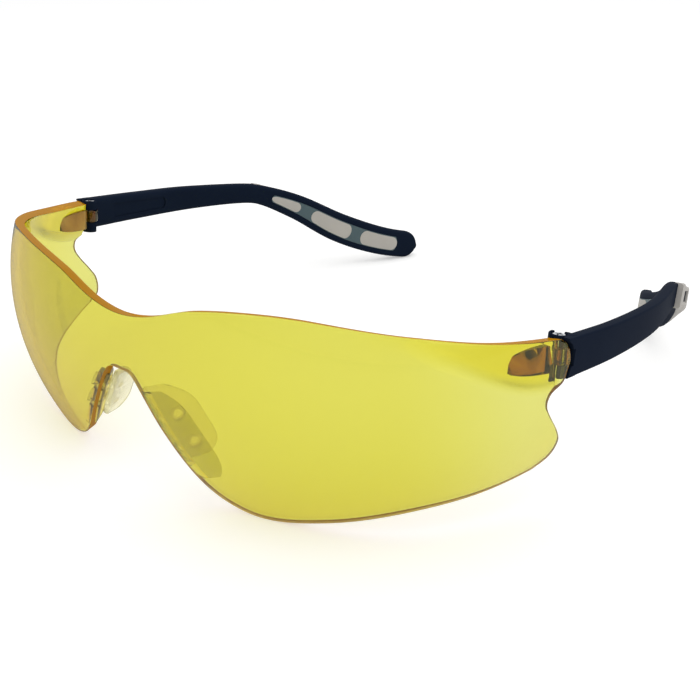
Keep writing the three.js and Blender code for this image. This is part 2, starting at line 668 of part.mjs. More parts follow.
// The slot between the lugs, round where the barrel sits and open to the front.
function forkSlot() {
  const room = upright(BARREL_RADIUS + RUNNING_CLEARANCE, -SLOT_HALF, SLOT_HALF,
    HINGE_X, HINGE_Y);
  const side = SLOT_MOUTH_HALF;
  const mouth = extrudeUp(new THREE.Shape([
    new THREE.Vector2(HINGE_X - side, HINGE_Y - side),
    new THREE.Vector2(HINGE_X + side, HINGE_Y - side),
    new THREE.Vector2(HINGE_X + side, HINGE_Y + FORK_SHOULDER),
    new THREE.Vector2(HINGE_X - side, HINGE_Y + FORK_SHOULDER),
  ]), -SLOT_HALF, SLOT_HALF);
  return solidOf(room).add(solidOf(mouth));
}

// The temple's outer face runs on past its root, up to the curved end of the lens. The
// room cut for that end leans back with it, as the end is square to the lens's face.
function cheek() {
  const lap = along(CHEEK_START, FORK_ROOT, 0, CHEEK_THICKNESS, (s) => templeHeight(s) / 2,
    { step: 2, outerRound: TEMPLE_OUTER_ROUND });
  const edge = sideRows().filter(([, height]) => height > CHEEK_LENS_FROM)
    .map(([angle, height]) => shieldPoint(angle, height))
    .map(({ y, z }) => [y + CHEEK_GAP, z]);
  const [low, high] = [edge[0], edge.at(-1)];
  const front = HINGE_Y - SLOT_MOUTH_HALF;
  const room = sideways([[front, low[1] - CUT_PAST], [low[0], low[1] - CUT_PAST],
    ...edge, [high[0], high[1] + CUT_PAST], [front, high[1] + CUT_PAST]]);
  const into = inwardAt(END_ANGLE, 0);
  return lap.subtract(room.warp((point) => {
    point[1] += into.y / into.x * (point[0] - lensEnd.x);
  }));
}

function nylonTemple() {
  const bar = along(FORK_ROOT - ROOT_LAP, TEMPLE_RUN, 0, TEMPLE_THICKNESS,
    (s) => templeHeight(s) / 2, { headRound: 0, tailRound: TIP_ROUND, step: 4.2,
      outerRound: TEMPLE_OUTER_ROUND, innerRound: TEMPLE_INNER_ROUND });
  const body = bar.add(forkBlock()).add(cheek());
  const bore = upright(BORE_RADIUS, SCREW_END - RUNNING_CLEARANCE, FORK_TOP + CUT_PAST,
    HINGE_X, HINGE_Y, 20);
  const sink = upright(SCREW_HEAD_RADIUS + RUNNING_CLEARANCE, HEAD_BOTTOM - RUNNING_CLEARANCE,
    FORK_TOP + CUT_PAST, HINGE_X, HINGE_Y);
  const recess = along(RECESS_SPAN[0], RECESS_SPAN[1], TEMPLE_THICKNESS - RECESS_DEPTH,
    TEMPLE_THICKNESS + CUT_PAST, (s) => templeHeight(s) / 2 - RECESS_RIM,
    { round: STRIP_END_ROUND, step: 5 });
  const stripPocket = along(gripStart, gripEnd, TEMPLE_THICKNESS - STRIP_DEPTH,
    TEMPLE_THICKNESS + CUT_PAST, windowHalf, { round: STRIP_END_ROUND, step: 6 });
  const openings = windows.map(([from, to]) => along(from, to, PAD_DEPTH - MOULD_LAP,
    TEMPLE_THICKNESS, windowHalf, { round: STRIP_END_ROUND, step: 6 }));
  const padBed = along(padStart, padEnd, -CUT_PAST, PAD_DEPTH, padHalf,
    { headRound: 0, tailRound: PAD_END_ROUND, step: 3 });
  const groove = along(padStart, collarEnd + MOULD_GAP, -CUT_PAST, COLLAR_DEPTH + MOULD_GAP,
    (s) => collarHalf(s) + CUT_PAST, { step: 3 });
  const ribBars = ribs.map(([from, to]) => along(from, to, 0, PAD_DEPTH + MOULD_LAP,
    (s) => windowHalf(s) + RIB_OVERHANG, { step: 3, proud: ribProud }));
  const cuts = [forkSlot(), solidOf(bore), solidOf(sink), recess, stripPocket, ...openings,
    padBed, groove];
  const opened = cuts.reduce((whole, cut) => whole.subtract(cut), body);
  return ribBars.reduce((whole, bar) => whole.add(bar), opened);
}

// The soft grip: a strip inside, plugs through the windows, and outside a raised pad
// that begins with the collar.
function grip() {
  const g = MOULD_GAP;
  const strip = along(gripStart + g, gripEnd - g, TEMPLE_THICKNESS - STRIP_DEPTH + g,
    TEMPLE_THICKNESS + STRIP_PROUD, (s) => windowHalf(s) - g,
    { round: STRIP_END_ROUND, step: 6 });
  const plugs = windows.map(([from, to]) => along(from + g, to - g, PAD_DEPTH - g - MOULD_LAP,
    TEMPLE_THICKNESS - STRIP_PROUD, (s) => windowHalf(s) - g,
    { round: STRIP_END_ROUND, step: 6 }));
  const padBody = along(padStart + g, padEnd - g, 0, PAD_DEPTH - g, (s) => padHalf(s) - g,
    { headRound: 0, tailRound: PAD_END_ROUND, step: 3, outerRound: PAD_EDGE_ROUND,
      proud: padProud });
  const collar = along(padStart + g, collarEnd, 0, COLLAR_DEPTH, collarHalf,
    { step: 3, outerRound: PAD_EDGE_ROUND, innerRound: PAD_EDGE_ROUND, proud: padProud });
  const notches = ribs.map(([from, to]) => along(from - g, to + g, -PAST_THE_PAD,
    PAD_DEPTH + CUT_PAST, (s) => windowHalf(s) + RIB_OVERHANG + g, { step: 3 }));
  const pad = notches.reduce((whole, notch) => whole.subtract(notch), padBody.add(collar));
  return plugs.reduce((whole, plug) => whole.add(plug), strip).add(pad);
}

// ---- Hinge screw ---------------------------------------------------------------------

function hingeScrew() {
  const profile = [
    [0, SCREW_END], [SCREW_RADIUS - SCREW_POINT, SCREW_END],
    [SCREW_RADIUS, SCREW_END + SCREW_POINT * 2],
    [SCREW_RADIUS, HEAD_BOTTOM], [SCREW_HEAD_RADIUS, HEAD_BOTTOM],
    [SCREW_HEAD_RADIUS, HEAD_TOP - HEAD_EDGE_DROP],
    [SCREW_HEAD_RADIUS - HEAD_EDGE_ROUND, HEAD_TOP], [0, HEAD_TOP],
  ].map(([radius, height]) => new THREE.Vector2(radius, height));
  const turned = new THREE.LatheGeometry(profile, 24).rotateX(Math.PI / 2);
  const blade = (length, width) => solidOf(new THREE.BoxGeometry(
    length, width, SCREW_SLOT_DEPTH * 2).translate(0, 0, HEAD_TOP));
  const reach = SCREW_SLOT_LENGTH;
  const screw = solidOf(outward(mergeVertices(turned.deleteAttribute('normal')
    .deleteAttribute('uv'), 1e-4)))
    .subtract(blade(reach, SCREW_SLOT_WIDTH)).subtract(blade(SCREW_SLOT_WIDTH, reach));
  return screw.translate([HINGE_X, HINGE_Y, 0]);
}

// ---- Assembly ------------------------------------------------------------------------

function named(name, geometry, material) {
  const mesh = new THREE.Mesh(geometry, material);
  mesh.name = name;
  return mesh;
}

const knuckle = hingeKnuckle();
const fence = noseFence();
const mirrorX = (solid) => solidOf(mirrored(geometryOf(solid)));
const pocketLeft = lugPocket();
const boreLeft = solidOf(upright(BORE_RADIUS, -BARREL_HEIGHT, BARREL_HEIGHT,
  HINGE_X, HINGE_Y, 20));
let lens = lensShell().subtract(pocketLeft).subtract(mirrorX(pocketLeft));
for (const piece of [knuckle, fence]) lens = lens.add(piece).add(mirrorX(piece));
lens = lens.subtract(boreLeft).subtract(mirrorX(boreLeft));

const glasses = new THREE.Group();
glasses.add(named('lens', geometryOf(lens), amber));
const pieces = [
  ['temple', nylonTemple(), nylon],
  ['temple_grip', grip(), gripRubber],
  ['hinge_screw', hingeScrew(), chrome],
  ['nose_pad', nosePad(), clearVinyl],
];
for (const [name, solid, material] of pieces) {
  const left = geometryOf(solid);
  glasses.add(named(`${name}_left`, left, material));
  glasses.add(named(`${name}_right`, mirrored(left), material));
}

// The glasses stand on the bottom of the lens and the ends of the temples.
function lowestAt(pitch, names) {
  let lowest = Infinity;
  const point = new THREE.Vector3();
  for (const mesh of glasses.children) {
    if (!names.some((name) => mesh.name.startsWith(name))) continue;
    const positions = mesh.geometry.attributes.position;
    for (let i = 0; i < positions.count; i++) {
      point.fromBufferAttribute(positions, i);
      lowest = Math.min(lowest, point.y * Math.sin(pitch) + point.z * Math.cos(pitch));
    }
  }
  return lowest;
}

let [shallow, steep] = [-0.5, 0.3];
for (let i = 0; i < 40; i++) {
  const middle = (shallow + steep) / 2;
  const templesLower = lowestAt(middle, ['temple']) < lowestAt(middle, ['lens']);
  if (templesLower) shallow = middle;
  else steep = middle;
}
const restPitch = steep;
glasses.rotation.x = restPitch;
glasses.position.z = -Math.min(lowestAt(restPitch, ['temple']), lowestAt(restPitch, ['lens']));

const root = new THREE.Group();
root.add(glasses);
root.updateMatrixWorld(true);
glasses.position.y = -new THREE.Box3().setFromObject(root, true).getCenter(new THREE.Vector3()).y;

export default root;
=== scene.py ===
import json
import math

import bmesh
import bpy
import numpy as np
from mathutils import Matrix, Vector


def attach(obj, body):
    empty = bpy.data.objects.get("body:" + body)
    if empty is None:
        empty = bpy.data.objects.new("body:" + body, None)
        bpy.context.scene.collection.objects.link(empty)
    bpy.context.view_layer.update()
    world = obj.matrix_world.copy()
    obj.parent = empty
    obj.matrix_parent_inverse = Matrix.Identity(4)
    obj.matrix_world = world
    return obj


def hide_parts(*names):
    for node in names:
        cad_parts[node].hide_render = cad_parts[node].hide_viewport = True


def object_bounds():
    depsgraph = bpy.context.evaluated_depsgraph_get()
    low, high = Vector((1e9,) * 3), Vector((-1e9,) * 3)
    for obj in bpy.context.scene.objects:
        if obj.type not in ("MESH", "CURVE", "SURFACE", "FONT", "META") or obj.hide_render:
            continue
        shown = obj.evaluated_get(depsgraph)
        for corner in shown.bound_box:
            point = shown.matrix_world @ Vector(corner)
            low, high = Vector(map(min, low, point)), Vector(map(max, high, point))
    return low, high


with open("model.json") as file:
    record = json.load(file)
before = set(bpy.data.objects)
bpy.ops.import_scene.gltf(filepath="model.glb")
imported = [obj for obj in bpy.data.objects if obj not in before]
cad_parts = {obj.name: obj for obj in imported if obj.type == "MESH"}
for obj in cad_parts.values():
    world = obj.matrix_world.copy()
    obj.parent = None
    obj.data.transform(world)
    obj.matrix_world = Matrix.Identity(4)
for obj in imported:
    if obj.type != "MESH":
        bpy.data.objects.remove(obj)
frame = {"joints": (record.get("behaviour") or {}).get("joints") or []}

cad_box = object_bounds()
scene = bpy.context.scene


# ---- Table top, light and camera -----------------------------------------------------
# A matt white table top that goes on as a white backdrop, a broad overhead softbox and two
# weaker side softboxes, and the camera low in front of the wearer's left.

def linear(colour):
    """An sRGB hex colour as linear RGBA."""
    parts = [int(colour[i:i + 2], 16) / 255 for i in (1, 3, 5)]
    curve = [c / 12.92 if c <= 0.04045 else ((c + 0.055) / 1.055) ** 2.4 for c in parts]
    return (*curve, 1.0)


def add_node(tree, kind, inputs=None, **settings):
    """Adds a node with its settings; inputs are values, or sockets to link."""
    made = tree.nodes.new(kind)
    for name, value in settings.items():
        setattr(made, name, value)
    for name, value in (inputs or {}).items():
        if isinstance(value, bpy.types.NodeSocket):
            tree.links.new(value, made.inputs[name])
        else:
            made.inputs[name].default_value = value
    return made


def empty_material(name):
    material = bpy.data.materials.new(name)
    material.use_nodes = True
    material.node_tree.nodes.clear()
    return material


def seen_directly(tree):
    """1 for what the eye, a gloss or a clear plastic shows, 0 for light on matt surfaces."""
    path = add_node(tree, "ShaderNodeLightPath")
    gloss_or_clear = add_node(tree, "ShaderNodeMath", {
        0: path.outputs["Is Glossy Ray"], 1: path.outputs["Is Transmission Ray"]},
        operation="MAXIMUM")
    return add_node(tree, "ShaderNodeMath", {
        0: path.outputs["Is Camera Ray"], 1: gloss_or_clear.outputs[0]},
        operation="MAXIMUM").outputs[0]


def mesh_piece(name, points, faces):
    mesh = bpy.data.meshes.new(name)
    mesh.from_pydata([tuple(p) for p in points], [], faces)
    piece = bpy.data.objects.new(name, mesh)
    scene.collection.objects.link(piece)
    return piece


# A matt white paint on board. Seen directly it glows a little, so that it runs into the
# backdrop as plain white and still takes the shadow of what stands on it.
TABLE_GLOW = 0.34
table_paint = empty_material("matt_white_table")
tree = table_paint.node_tree
glow = add_node(tree, "ShaderNodeMath", {0: seen_directly(tree), 1: TABLE_GLOW},
                operation="MULTIPLY")
paint = add_node(tree, "ShaderNodeBsdfPrincipled", {
    "Base Color": linear("#e7e7e7"), "Roughness": 0.9, "Specular IOR Level": 0.0,
    "Emission Color": linear("#ffffff"), "Emission Strength": glow.outputs[0]})
add_node(tree, "ShaderNodeOutputMaterial", {"Surface": paint.outputs[0]})

TABLE_HALF = 4.0
table = mesh_piece("table_top", [(sx * TABLE_HALF, sy * TABLE_HALF, 0) for sx, sy in
                                 ((-1, -1), (1, -1), (1, 1), (-1, 1))], [(0, 1, 2, 3)])
table.data.materials.append(table_paint)

# The room is white all round; what it lights is lit a little less than the eye sees.
ROOM_LIGHT = 0.75
world = bpy.data.worlds.new("studio")
scene.world = world
world.use_nodes = True
world.node_tree.nodes.clear()
tree = world.node_tree
level = add_node(tree, "ShaderNodeMapRange", {
    "Value": seen_directly(tree), "To Min": ROOM_LIGHT, "To Max": 1.0})
sky = add_node(tree, "ShaderNodeBackground", {
    "Color": linear("#ffffff"), "Strength": level.outputs[0]})
add_node(tree, "ShaderNodeOutputWorld", {"Surface": sky.outputs[0]})

# Each softbox: its name, its place and its side in metres, and its power in watts.
SOFTBOXES = [("overhead_softbox", (0.05, 0.10, 0.75), 0.8, 1.7),
             ("front_softbox", (-0.35, -0.75, 0.45), 0.5, 0.65),
             ("side_softbox", (0.85, -0.10, 0.40), 0.5, 0.65)]
LIT_POINT = Vector((0, 0, 0.02))
for name, place, side, watts in SOFTBOXES:
    lamp = bpy.data.lights.new(name, "AREA")
    lamp.shape = "RECTANGLE"
    lamp.size = lamp.size_y = side
    lamp.energy = watts
    softbox = bpy.data.objects.new(name, lamp)
    softbox.location = place
    softbox.rotation_euler = (LIT_POINT - Vector(place)).to_track_quat("-Z", "Y").to_euler()
    scene.collection.objects.link(softbox)

CAMERA_PLACE = (0.15444, -0.19109, 0.11436)
CAMERA_AZIMUTH, CAMERA_ELEVATION, CAMERA_ROLL = 39.81, 24.29, -0.27
FOCAL_LENGTH_MM, SENSOR_WIDTH_MM = 54.30, 36
camera_data = bpy.data.cameras.new("camera")
camera_data.lens, camera_data.sensor_width = FOCAL_LENGTH_MM, SENSOR_WIDTH_MM
camera_data.clip_start = 0.005
camera = bpy.data.objects.new("camera", camera_data)
camera.matrix_world = (
    Matrix.Translation(CAMERA_PLACE)
    @ Matrix.Rotation(math.radians(CAMERA_AZIMUTH), 4, "Z")
    @ Matrix.Rotation(math.radians(90 - CAMERA_ELEVATION), 4, "X")
    @ Matrix.Rotation(math.radians(CAMERA_ROLL), 4, "Z"))
scene.collection.objects.link(camera)
scene.camera = camera

scene.view_settings.view_transform = "Standard"
# Light crosses many clear walls where the lens, fences, pegs and pads lie in one line.
scene.cycles.transmission_bounces = 16
scene.cycles.max_bounces = 20
scene.cycles.transparent_max_bounces = 16


# ---- Lens shield ---------------------------------------------------------------------
# One injection moulding of amber polycarbonate: the wraparound shield, the nose arch with
# its two fences, and at each end a tongue-shaped boss and the barrel of the hinge. Its rim
# is polished by the mould and its faces are hard coated.

# Every piece is made in millimetres as worn, with X to the wearer's left, Y to the back and
# heights from the hinge. The outer face is a squared-off dome, and its edges are knots of
# (degrees round the head, height).
SHIELD_HALF_WIDTH, SHIELD_DEPTH, SHIELD_CENTRE_Y = 76, 93, 45
SHIELD_SQUARENESS = 3
SHIELD_WAIST_Z, SHIELD_HEIGHT_RADIUS, SHIELD_SIDE_PULL = -6.2, 70, 1.5
SHIELD_TILT = math.radians(8.5)
LENS_THICKNESS = 2.2
SIDE_THINNING, SIDE_THINS_OVER = 0.8, (34, 54)
ENDPIECE_THICKENING, ENDPIECE_THICKENS_OVER = 0.9, (30, 50)
END_ANGLE = 58
LENS_FOOT, LENS_HEAD = (53.7, -23.3), (56.6, 4.1)
TOP_EDGE = [(-5, 7.8), (0, 6.7), (5, 7.8), (12, 11.3), (20, 13.1), (27, 13), (38, 10.15),
            (48, 6.6), LENS_HEAD]
ARCH_AND_NOSE = [(-2, -5.3), (0, -4.9), (2, -5.3), (3.6, -8.4), (6.7, -16.3), (10.8, -25.2),
                 (14.5, -29.5), (19.5, -31.4), (28, -29.3), (38, -26.3), (47, -24.8), LENS_FOOT]
SIDE_EDGE = [LENS_FOOT, (56.2, -21.5), (57.3, -18), (56.6, -14.8), (55.2, -11), (54.4, -8),
             (55, -5.6), (56.7, -4.3), (57.4, -2.4), (END_ANGLE, 0), (57.6, 2.6), LENS_HEAD]
END_CREASE = [(36, 9), (42, 5), (48, -0.3), (52, -3.1), (57, -4.6)]
CREASE_HALF_WIDTH = 2.1
LENS_COLUMNS, LENS_ROW_STEP = 130, 0.4
RIM_ROUNDING, RIM_TURN = 0.6, 62


def smooth(knots, place):
    """A smooth curve through knots (place, value) whose places rise."""
    xs, ys = np.array(knots, float).T
    slopes = np.empty_like(ys)
    slopes[1:-1] = (ys[2:] - ys[:-2]) / (xs[2:] - xs[:-2])
    slopes[0] = (ys[1] - ys[0]) / (xs[1] - xs[0])
    slopes[-1] = (ys[-1] - ys[-2]) / (xs[-1] - xs[-2])
    at = np.clip(place, xs[0], xs[-1])
    i = np.clip(np.searchsorted(xs, at, side="right") - 1, 0, len(xs) - 2)
    span = xs[i + 1] - xs[i]
    t = (at - xs[i]) / span
    return ((2 * t**3 - 3 * t**2 + 1) * ys[i] + (t**3 - 2 * t**2 + t) * span * slopes[i]
            + (3 * t**2 - 2 * t**3) * ys[i + 1] + (t**3 - t**2) * span * slopes[i + 1])


def bend(value, low, high):
    """Eases from 0 at low to 1 at high."""
    t = np.clip((value - low) / (high - low), 0, 1)
    return t * t * (3 - 2 * t)


def shield_point(angle, height):
    """Outer face of the shield, in mm as worn, by angle round the head and height."""
    turn = np.radians(angle)
    rise = height - SHIELD_WAIST_Z
    sag = SHIELD_HEIGHT_RADIUS - np.sqrt(SHIELD_HEIGHT_RADIUS**2 - rise**2)
    across = np.abs(np.sin(turn)) / (SHIELD_HALF_WIDTH - SHIELD_SIDE_PULL * sag)
    along = np.cos(turn) / (SHIELD_DEPTH - sag)
    reach = (across**SHIELD_SQUARENESS + along**SHIELD_SQUARENESS) ** (-1 / SHIELD_SQUARENESS)
    y = SHIELD_CENTRE_Y - reach * np.cos(turn)
    return np.stack([reach * np.sin(turn),
                     y * math.cos(SHIELD_TILT) - height * math.sin(SHIELD_TILT),
                     y * math.sin(SHIELD_TILT) + height * math.cos(SHIELD_TILT)], -1)


def unit(vectors):
    """Vectors brought to length 1."""
    return vectors / np.linalg.norm(vectors, axis=-1, keepdims=True)


def into_lens(angle, height, step=0.05):
    """The direction from the outer face into the lens."""
    round_head = shield_point(angle + step, height) - shield_point(angle - step, height)
    up = shield_point(angle, height + step) - shield_point(angle, height - step)
    return unit(np.cross(up, round_head))


def lens_thickness(angle, height):
    """Thinner at the sides, and thicker above the crease, where the hinge is."""
    angle = np.abs(angle)
    in_end = bend(height - smooth(END_CREASE, angle), -CREASE_HALF_WIDTH, CREASE_HALF_WIDTH)
    return (LENS_THICKNESS - SIDE_THINNING * bend(angle, *SIDE_THINS_OVER) * (1 - in_end)
            + ENDPIECE_THICKENING * bend(angle, *ENDPIECE_THICKENS_OVER) * in_end)


def side_rows():
    """The side edge as angles and heights, one for each row of the grid."""
    by_height = [(h, a) for a, h in SIDE_EDGE]
    count = round((LENS_HEAD[1] - LENS_FOOT[1]) / LENS_ROW_STEP)
    heights = np.linspace(LENS_FOOT[1], LENS_HEAD[1], count + 1)
    return smooth(by_height, heights), heights


# Columns crowd towards the nose: a share of them is even, the rest follows a power. The
# last ones lean over to follow the curved side edge.
FOOT_EVEN, FOOT_POWER, HEAD_EVEN, HEAD_POWER = 0.35, 1.6, 0.55, 1.4
SIDE_PULL_FROM, SIDE_PULL_POWER = 0.8, 1.5


def lens_grid():
    """Angles and heights over the left half, as arrays of columns by rows."""
    side_angle, side_height = side_rows()
    u = np.linspace(0, 1, LENS_COLUMNS + 1)[:, None]
    foot = LENS_FOOT[0] * (FOOT_EVEN * u + (1 - FOOT_EVEN) * u**FOOT_POWER)
    head = LENS_HEAD[0] * (HEAD_EVEN * u + (1 - HEAD_EVEN) * u**HEAD_POWER)
    pull = np.clip((u - SIDE_PULL_FROM) / (1 - SIDE_PULL_FROM), 0, None) ** SIDE_PULL_POWER
    v = (side_height - LENS_FOOT[1]) / (LENS_HEAD[1] - LENS_FOOT[1])
    chord = LENS_FOOT[0] + (LENS_HEAD[0] - LENS_FOOT[0]) * v
    angle = foot + (head - foot) * v + pull * (side_angle - chord)
    low, high = smooth(ARCH_AND_NOSE, foot), smooth(TOP_EDGE, head)
    return angle, low + (high - low) * v


def faced_outward(piece):
    """Turns every face of a closed piece to look outward."""
    shape = bmesh.new()
    shape.from_mesh(piece.data)
    bmesh.ops.recalc_face_normals(shape, faces=shape.faces)
    shape.to_mesh(piece.data)
    shape.free()
    return piece


def baked(piece):
    """Turns a piece's modifiers into its own mesh."""
    seen = piece.evaluated_get(bpy.context.evaluated_depsgraph_get())
    mesh = bpy.data.meshes.new_from_object(seen)
    old, piece.data = piece.data, mesh
    bpy.data.meshes.remove(old)
    piece.modifiers.clear()
    return piece


def rounded(piece, radius, segments=3, above=40):
    """Rounds every edge that turns by more than an angle in degrees."""
    step = piece.modifiers.new("rounded", "BEVEL")
    step.width, step.segments = radius, segments
    step.limit_method, step.angle_limit = "ANGLE", math.radians(above)
    return baked(piece)


def with_solids(piece, tools, operation):
    """Joins solids to a piece (UNION) or cuts them out of it (DIFFERENCE)."""
    for tool in tools:
        step = piece.modifiers.new("solid", "BOOLEAN")
        step.operation, step.solver, step.object = operation, "EXACT", tool
    baked(piece)
    for tool in tools:
        bpy.data.objects.remove(tool)
    return piece


def plate(name, outer, inner):
    """A closed plate between two matching grids of points."""
    columns, rows = outer.shape[:2]
    place = np.arange(2 * columns * rows).reshape(2, columns, rows)
    faces = []

    def skin(a):
        for i in range(a.shape[0] - 1):
            for j in range(a.shape[1] - 1):
                faces.append((a[i, j], a[i + 1, j], a[i + 1, j + 1], a[i, j + 1]))

    skin(place[0])
    skin(place[1])
    for edge in (place[:, :, 0], place[:, :, -1], place[:, 0, :], place[:, -1, :]):
        skin(edge)
    points = np.concatenate([outer.reshape(-1, 3), inner.reshape(-1, 3)])
    return faced_outward(mesh_piece(name, points, [tuple(map(int, f)) for f in faces]))


def marked(piece, mark, chosen=lambda face: True):
    """Marks chosen faces of a piece, for its material to tell them by."""
    layer = piece.data.attributes.new(mark, "FLOAT", "FACE")
    for face in piece.data.polygons:
        layer.data[face.index].value = float(chosen(face))
    return piece


def prism(name, outline, low, high):
    """A closed prism over an outline in X and Y."""
    n = len(outline)
    points = [(x, y, z) for z in (low, high) for x, y in outline]
    faces = [tuple(range(n)), tuple(range(n, 2 * n))]
    faces += [(i, (i + 1) % n, n + (i + 1) % n, n + i) for i in range(n)]
    return faced_outward(mesh_piece(name, points, faces))


def sideways(name, outline, low, high):
    """A closed prism over an outline in Y and Z, between two places across."""
    turned_up = prism(name, outline, low, high)
    turned_up.data.transform(Matrix(((0, 0, 1, 0), (1, 0, 0, 0), (0, 1, 0, 0), (0, 0, 0, 1))))
    return turned_up


def disc(x, y, radius, sides=48):
    """The outline of a disc."""
    turns = np.arange(sides) * 2 * math.pi / sides
    return [(x + radius * math.cos(t), y + radius * math.sin(t)) for t in turns]


def lofted(name, rings):
    """Skins a row of closed rings of points and fills both ends."""
    size = len(rings[0])
    points = np.concatenate([np.asarray(ring) for ring in rings])
    last = (len(rings) - 1) * size
    faces = [tuple(range(size)), tuple(range(last, last + size))]
    for i in range(len(rings) - 1):
        for j in range(size):
            a, b = i * size + j, i * size + (j + 1) % size
            faces.append((a, b, b + size, a + size))
    return faced_outward(mesh_piece(name, points, faces))


def mirrored(piece, name):
    """The right-hand copy of a left-hand piece."""
    copy = piece.copy()
    copy.name = name
    copy.data = piece.data.copy()
    copy.data.transform(Matrix.Scale(-1, 4, (1, 0, 0)))
    copy.data.flip_normals()
    scene.collection.objects.link(copy)
    return copy


LENS_END = shield_point(END_ANGLE, 0)
HINGE_INSET = 3.1
HINGE_X, HINGE_Y = LENS_END[0] - HINGE_INSET, LENS_END[1]
BARREL_RADIUS, BARREL_HALF, RUNNING_CLEARANCE = 2.1, 1.45, 0.25
SCREW_RADIUS, LUG_RADIUS = 0.8, 2.0
SLOT_HALF = BARREL_HALF + RUNNING_CLEARANCE
UPPER_LUG, LOWER_LUG = 2.35, 2.55
FORK_TOP, FORK_BOTTOM = SLOT_HALF + UPPER_LUG, -SLOT_HALF - LOWER_LUG
BORE_RADIUS = SCREW_RADIUS + RUNNING_CLEARANCE
BOSS_REACH_IN, BOSS_GAP = 2.5, 1
BOSS_INNER_X, BOSS_END_Y = HINGE_X - BOSS_REACH_IN, HINGE_Y - LUG_RADIUS - BOSS_GAP
BOSS_TOP, BOSS_BOTTOM, BOSS_SQUARENESS = 2, -3, 2.6
BOSS_DEGREES, BOSS_TIP_PROUD, BOSS_ROUNDING = (1.5, 5.1, 8.7), 0.2, 0.35
BARREL_ROUNDING = 0.15
NECK_REACH, NECK_LAP, NECK_SHY = 1.3, 0.3, 0.03


def mid_skin(degrees_ahead):
    """The middle of the lens's thickness, at an angle ahead of its end."""
    angle = END_ANGLE - degrees_ahead
    return shield_point(angle, 0) + into_lens(angle, 0) * LENS_THICKNESS / 2


def hinge_boss():
    """The tongue on the inner face that carries the hinge barrel."""
    near, middle, far = (mid_skin(ahead) for ahead in BOSS_DEGREES)
    tip = far + into_lens(END_ANGLE - BOSS_DEGREES[-1], 0) * (
        LENS_THICKNESS / 2 + ENDPIECE_THICKENING + BOSS_TIP_PROUD)
    wedge = [(near[0], BOSS_END_Y), tuple(middle[:2]), tuple(far[:2]), tuple(tip[:2]),
             (BOSS_INNER_X, BOSS_END_Y)]
    boss = prism("boss", wedge, BOSS_BOTTOM, BOSS_TOP)
    turns = np.linspace(0, math.pi / 2, 20)
    ahead = BOSS_END_Y + (far[1] - BOSS_END_Y) * np.sin(turns) ** (2 / BOSS_SQUARENESS)
    rise = (BOSS_TOP - BOSS_BOTTOM) / 2 * np.clip(np.cos(turns), 0, 1) ** (2 / BOSS_SQUARENESS)
    middle_z = (BOSS_TOP + BOSS_BOTTOM) / 2
    tongue = list(zip(ahead, middle_z + rise)) + list(zip(ahead, middle_z - rise))[-2::-1]
    with_solids(boss, [sideways("tongue", tongue, 0, SHIELD_HALF_WIDTH)], "INTERSECT")
    return rounded(boss, BOSS_ROUNDING)


def hinge_barrel():
    """The round middle of the hinge, between the temple's two lugs."""
    return rounded(prism("barrel", disc(HINGE_X, HINGE_Y, BARREL_RADIUS), -BARREL_HALF,
                         BARREL_HALF), BARREL_ROUNDING)


def hinge_neck():
    """The web that joins the barrel to the boss and the lens's end."""
    lap, depth, near = NECK_LAP, LENS_THICKNESS / 2, mid_skin(BOSS_DEGREES[0])
    neck = [(HINGE_X, HINGE_Y - BARREL_RADIUS + lap), (HINGE_X - NECK_REACH, BOSS_END_Y - lap),
            (near[0], BOSS_END_Y - lap), (LENS_END[0] - depth, HINGE_Y),
            (HINGE_X, HINGE_Y + BARREL_RADIUS - lap)]
    return prism("neck", neck, NECK_SHY - BARREL_HALF, BARREL_HALF - NECK_SHY)


# The nasal edge is the stretch of the lower edge that runs down beside the nose.
NOSE_TOP_HEIGHT, NOSE_FOOT_HEIGHT = -8.6, -25.6
NOSE_EDGE = [(h, a) for a, h in ARCH_AND_NOSE if 1 < a < 15][::-1]
FENCE_DEPTH, FENCE_THICKNESS, FENCE_ROOT = 6.0, 1.6, 1.2
FIN_CORNER_CUT, FIN_CORNER_POWER, FENCE_ROUNDING = 0.5, 4, 0.3
FENCE_SPLAY, NOSE_PAD_SPLAY = math.radians(38), math.radians(19)
FENCE_BACK = np.array([math.sin(FENCE_SPLAY), math.cos(FENCE_SPLAY), 0])
PEG_RADIUS, PEG_CLEARANCE, PEG_SETBACK, PEG_PLACES = 0.8, 0.3, 3.9, (0.24, 0.55)


def nose_line(t):
    """The nasal edge on the inner face, from the arch (0) down to the foot (1)."""
    height = NOSE_TOP_HEIGHT + (NOSE_FOOT_HEIGHT - NOSE_TOP_HEIGHT) * t
    angle = smooth(NOSE_EDGE, height)
    return shield_point(angle, height) + into_lens(angle, height) * LENS_THICKNESS


def off_fin(back, t, step=0.02):
    """The direction square to a fin at a place on the nasal edge, away from the nose."""
    return unit(np.cross(nose_line(t + step) - nose_line(t - step), back))


def nose_fin(name, back, front, reach, near, far, span, rows=28):
    """A fin that runs back from the nasal edge, with rounded corners."""
    rings = []
    for i in range(rows + 1):
        t = span[0] + (span[1] - span[0]) * i / rows
        depth = reach * (1 - abs(2 * i / rows - 1) ** FIN_CORNER_POWER * FIN_CORNER_CUT)
        base, out = nose_line(t), off_fin(back, t)
        rings.append([base + back * along + out * across for along, across in
                      ((front, near), (depth, near), (depth, far), (front, far))])
    return lofted(name, rings)


def nose_peg(t, radius, low, high):
    """A round pin square to the fence, between two distances from its nose side."""
    pin = prism("pin", disc(0, 0, radius, 32), low, high)
    out = off_fin(FENCE_BACK, t)
    pin.data.transform(Vector(out).to_track_quat("Z", "Y").to_matrix().to_4x4())
    pin.data.transform(Matrix.Translation(nose_line(t) + FENCE_BACK * PEG_SETBACK))
    return pin


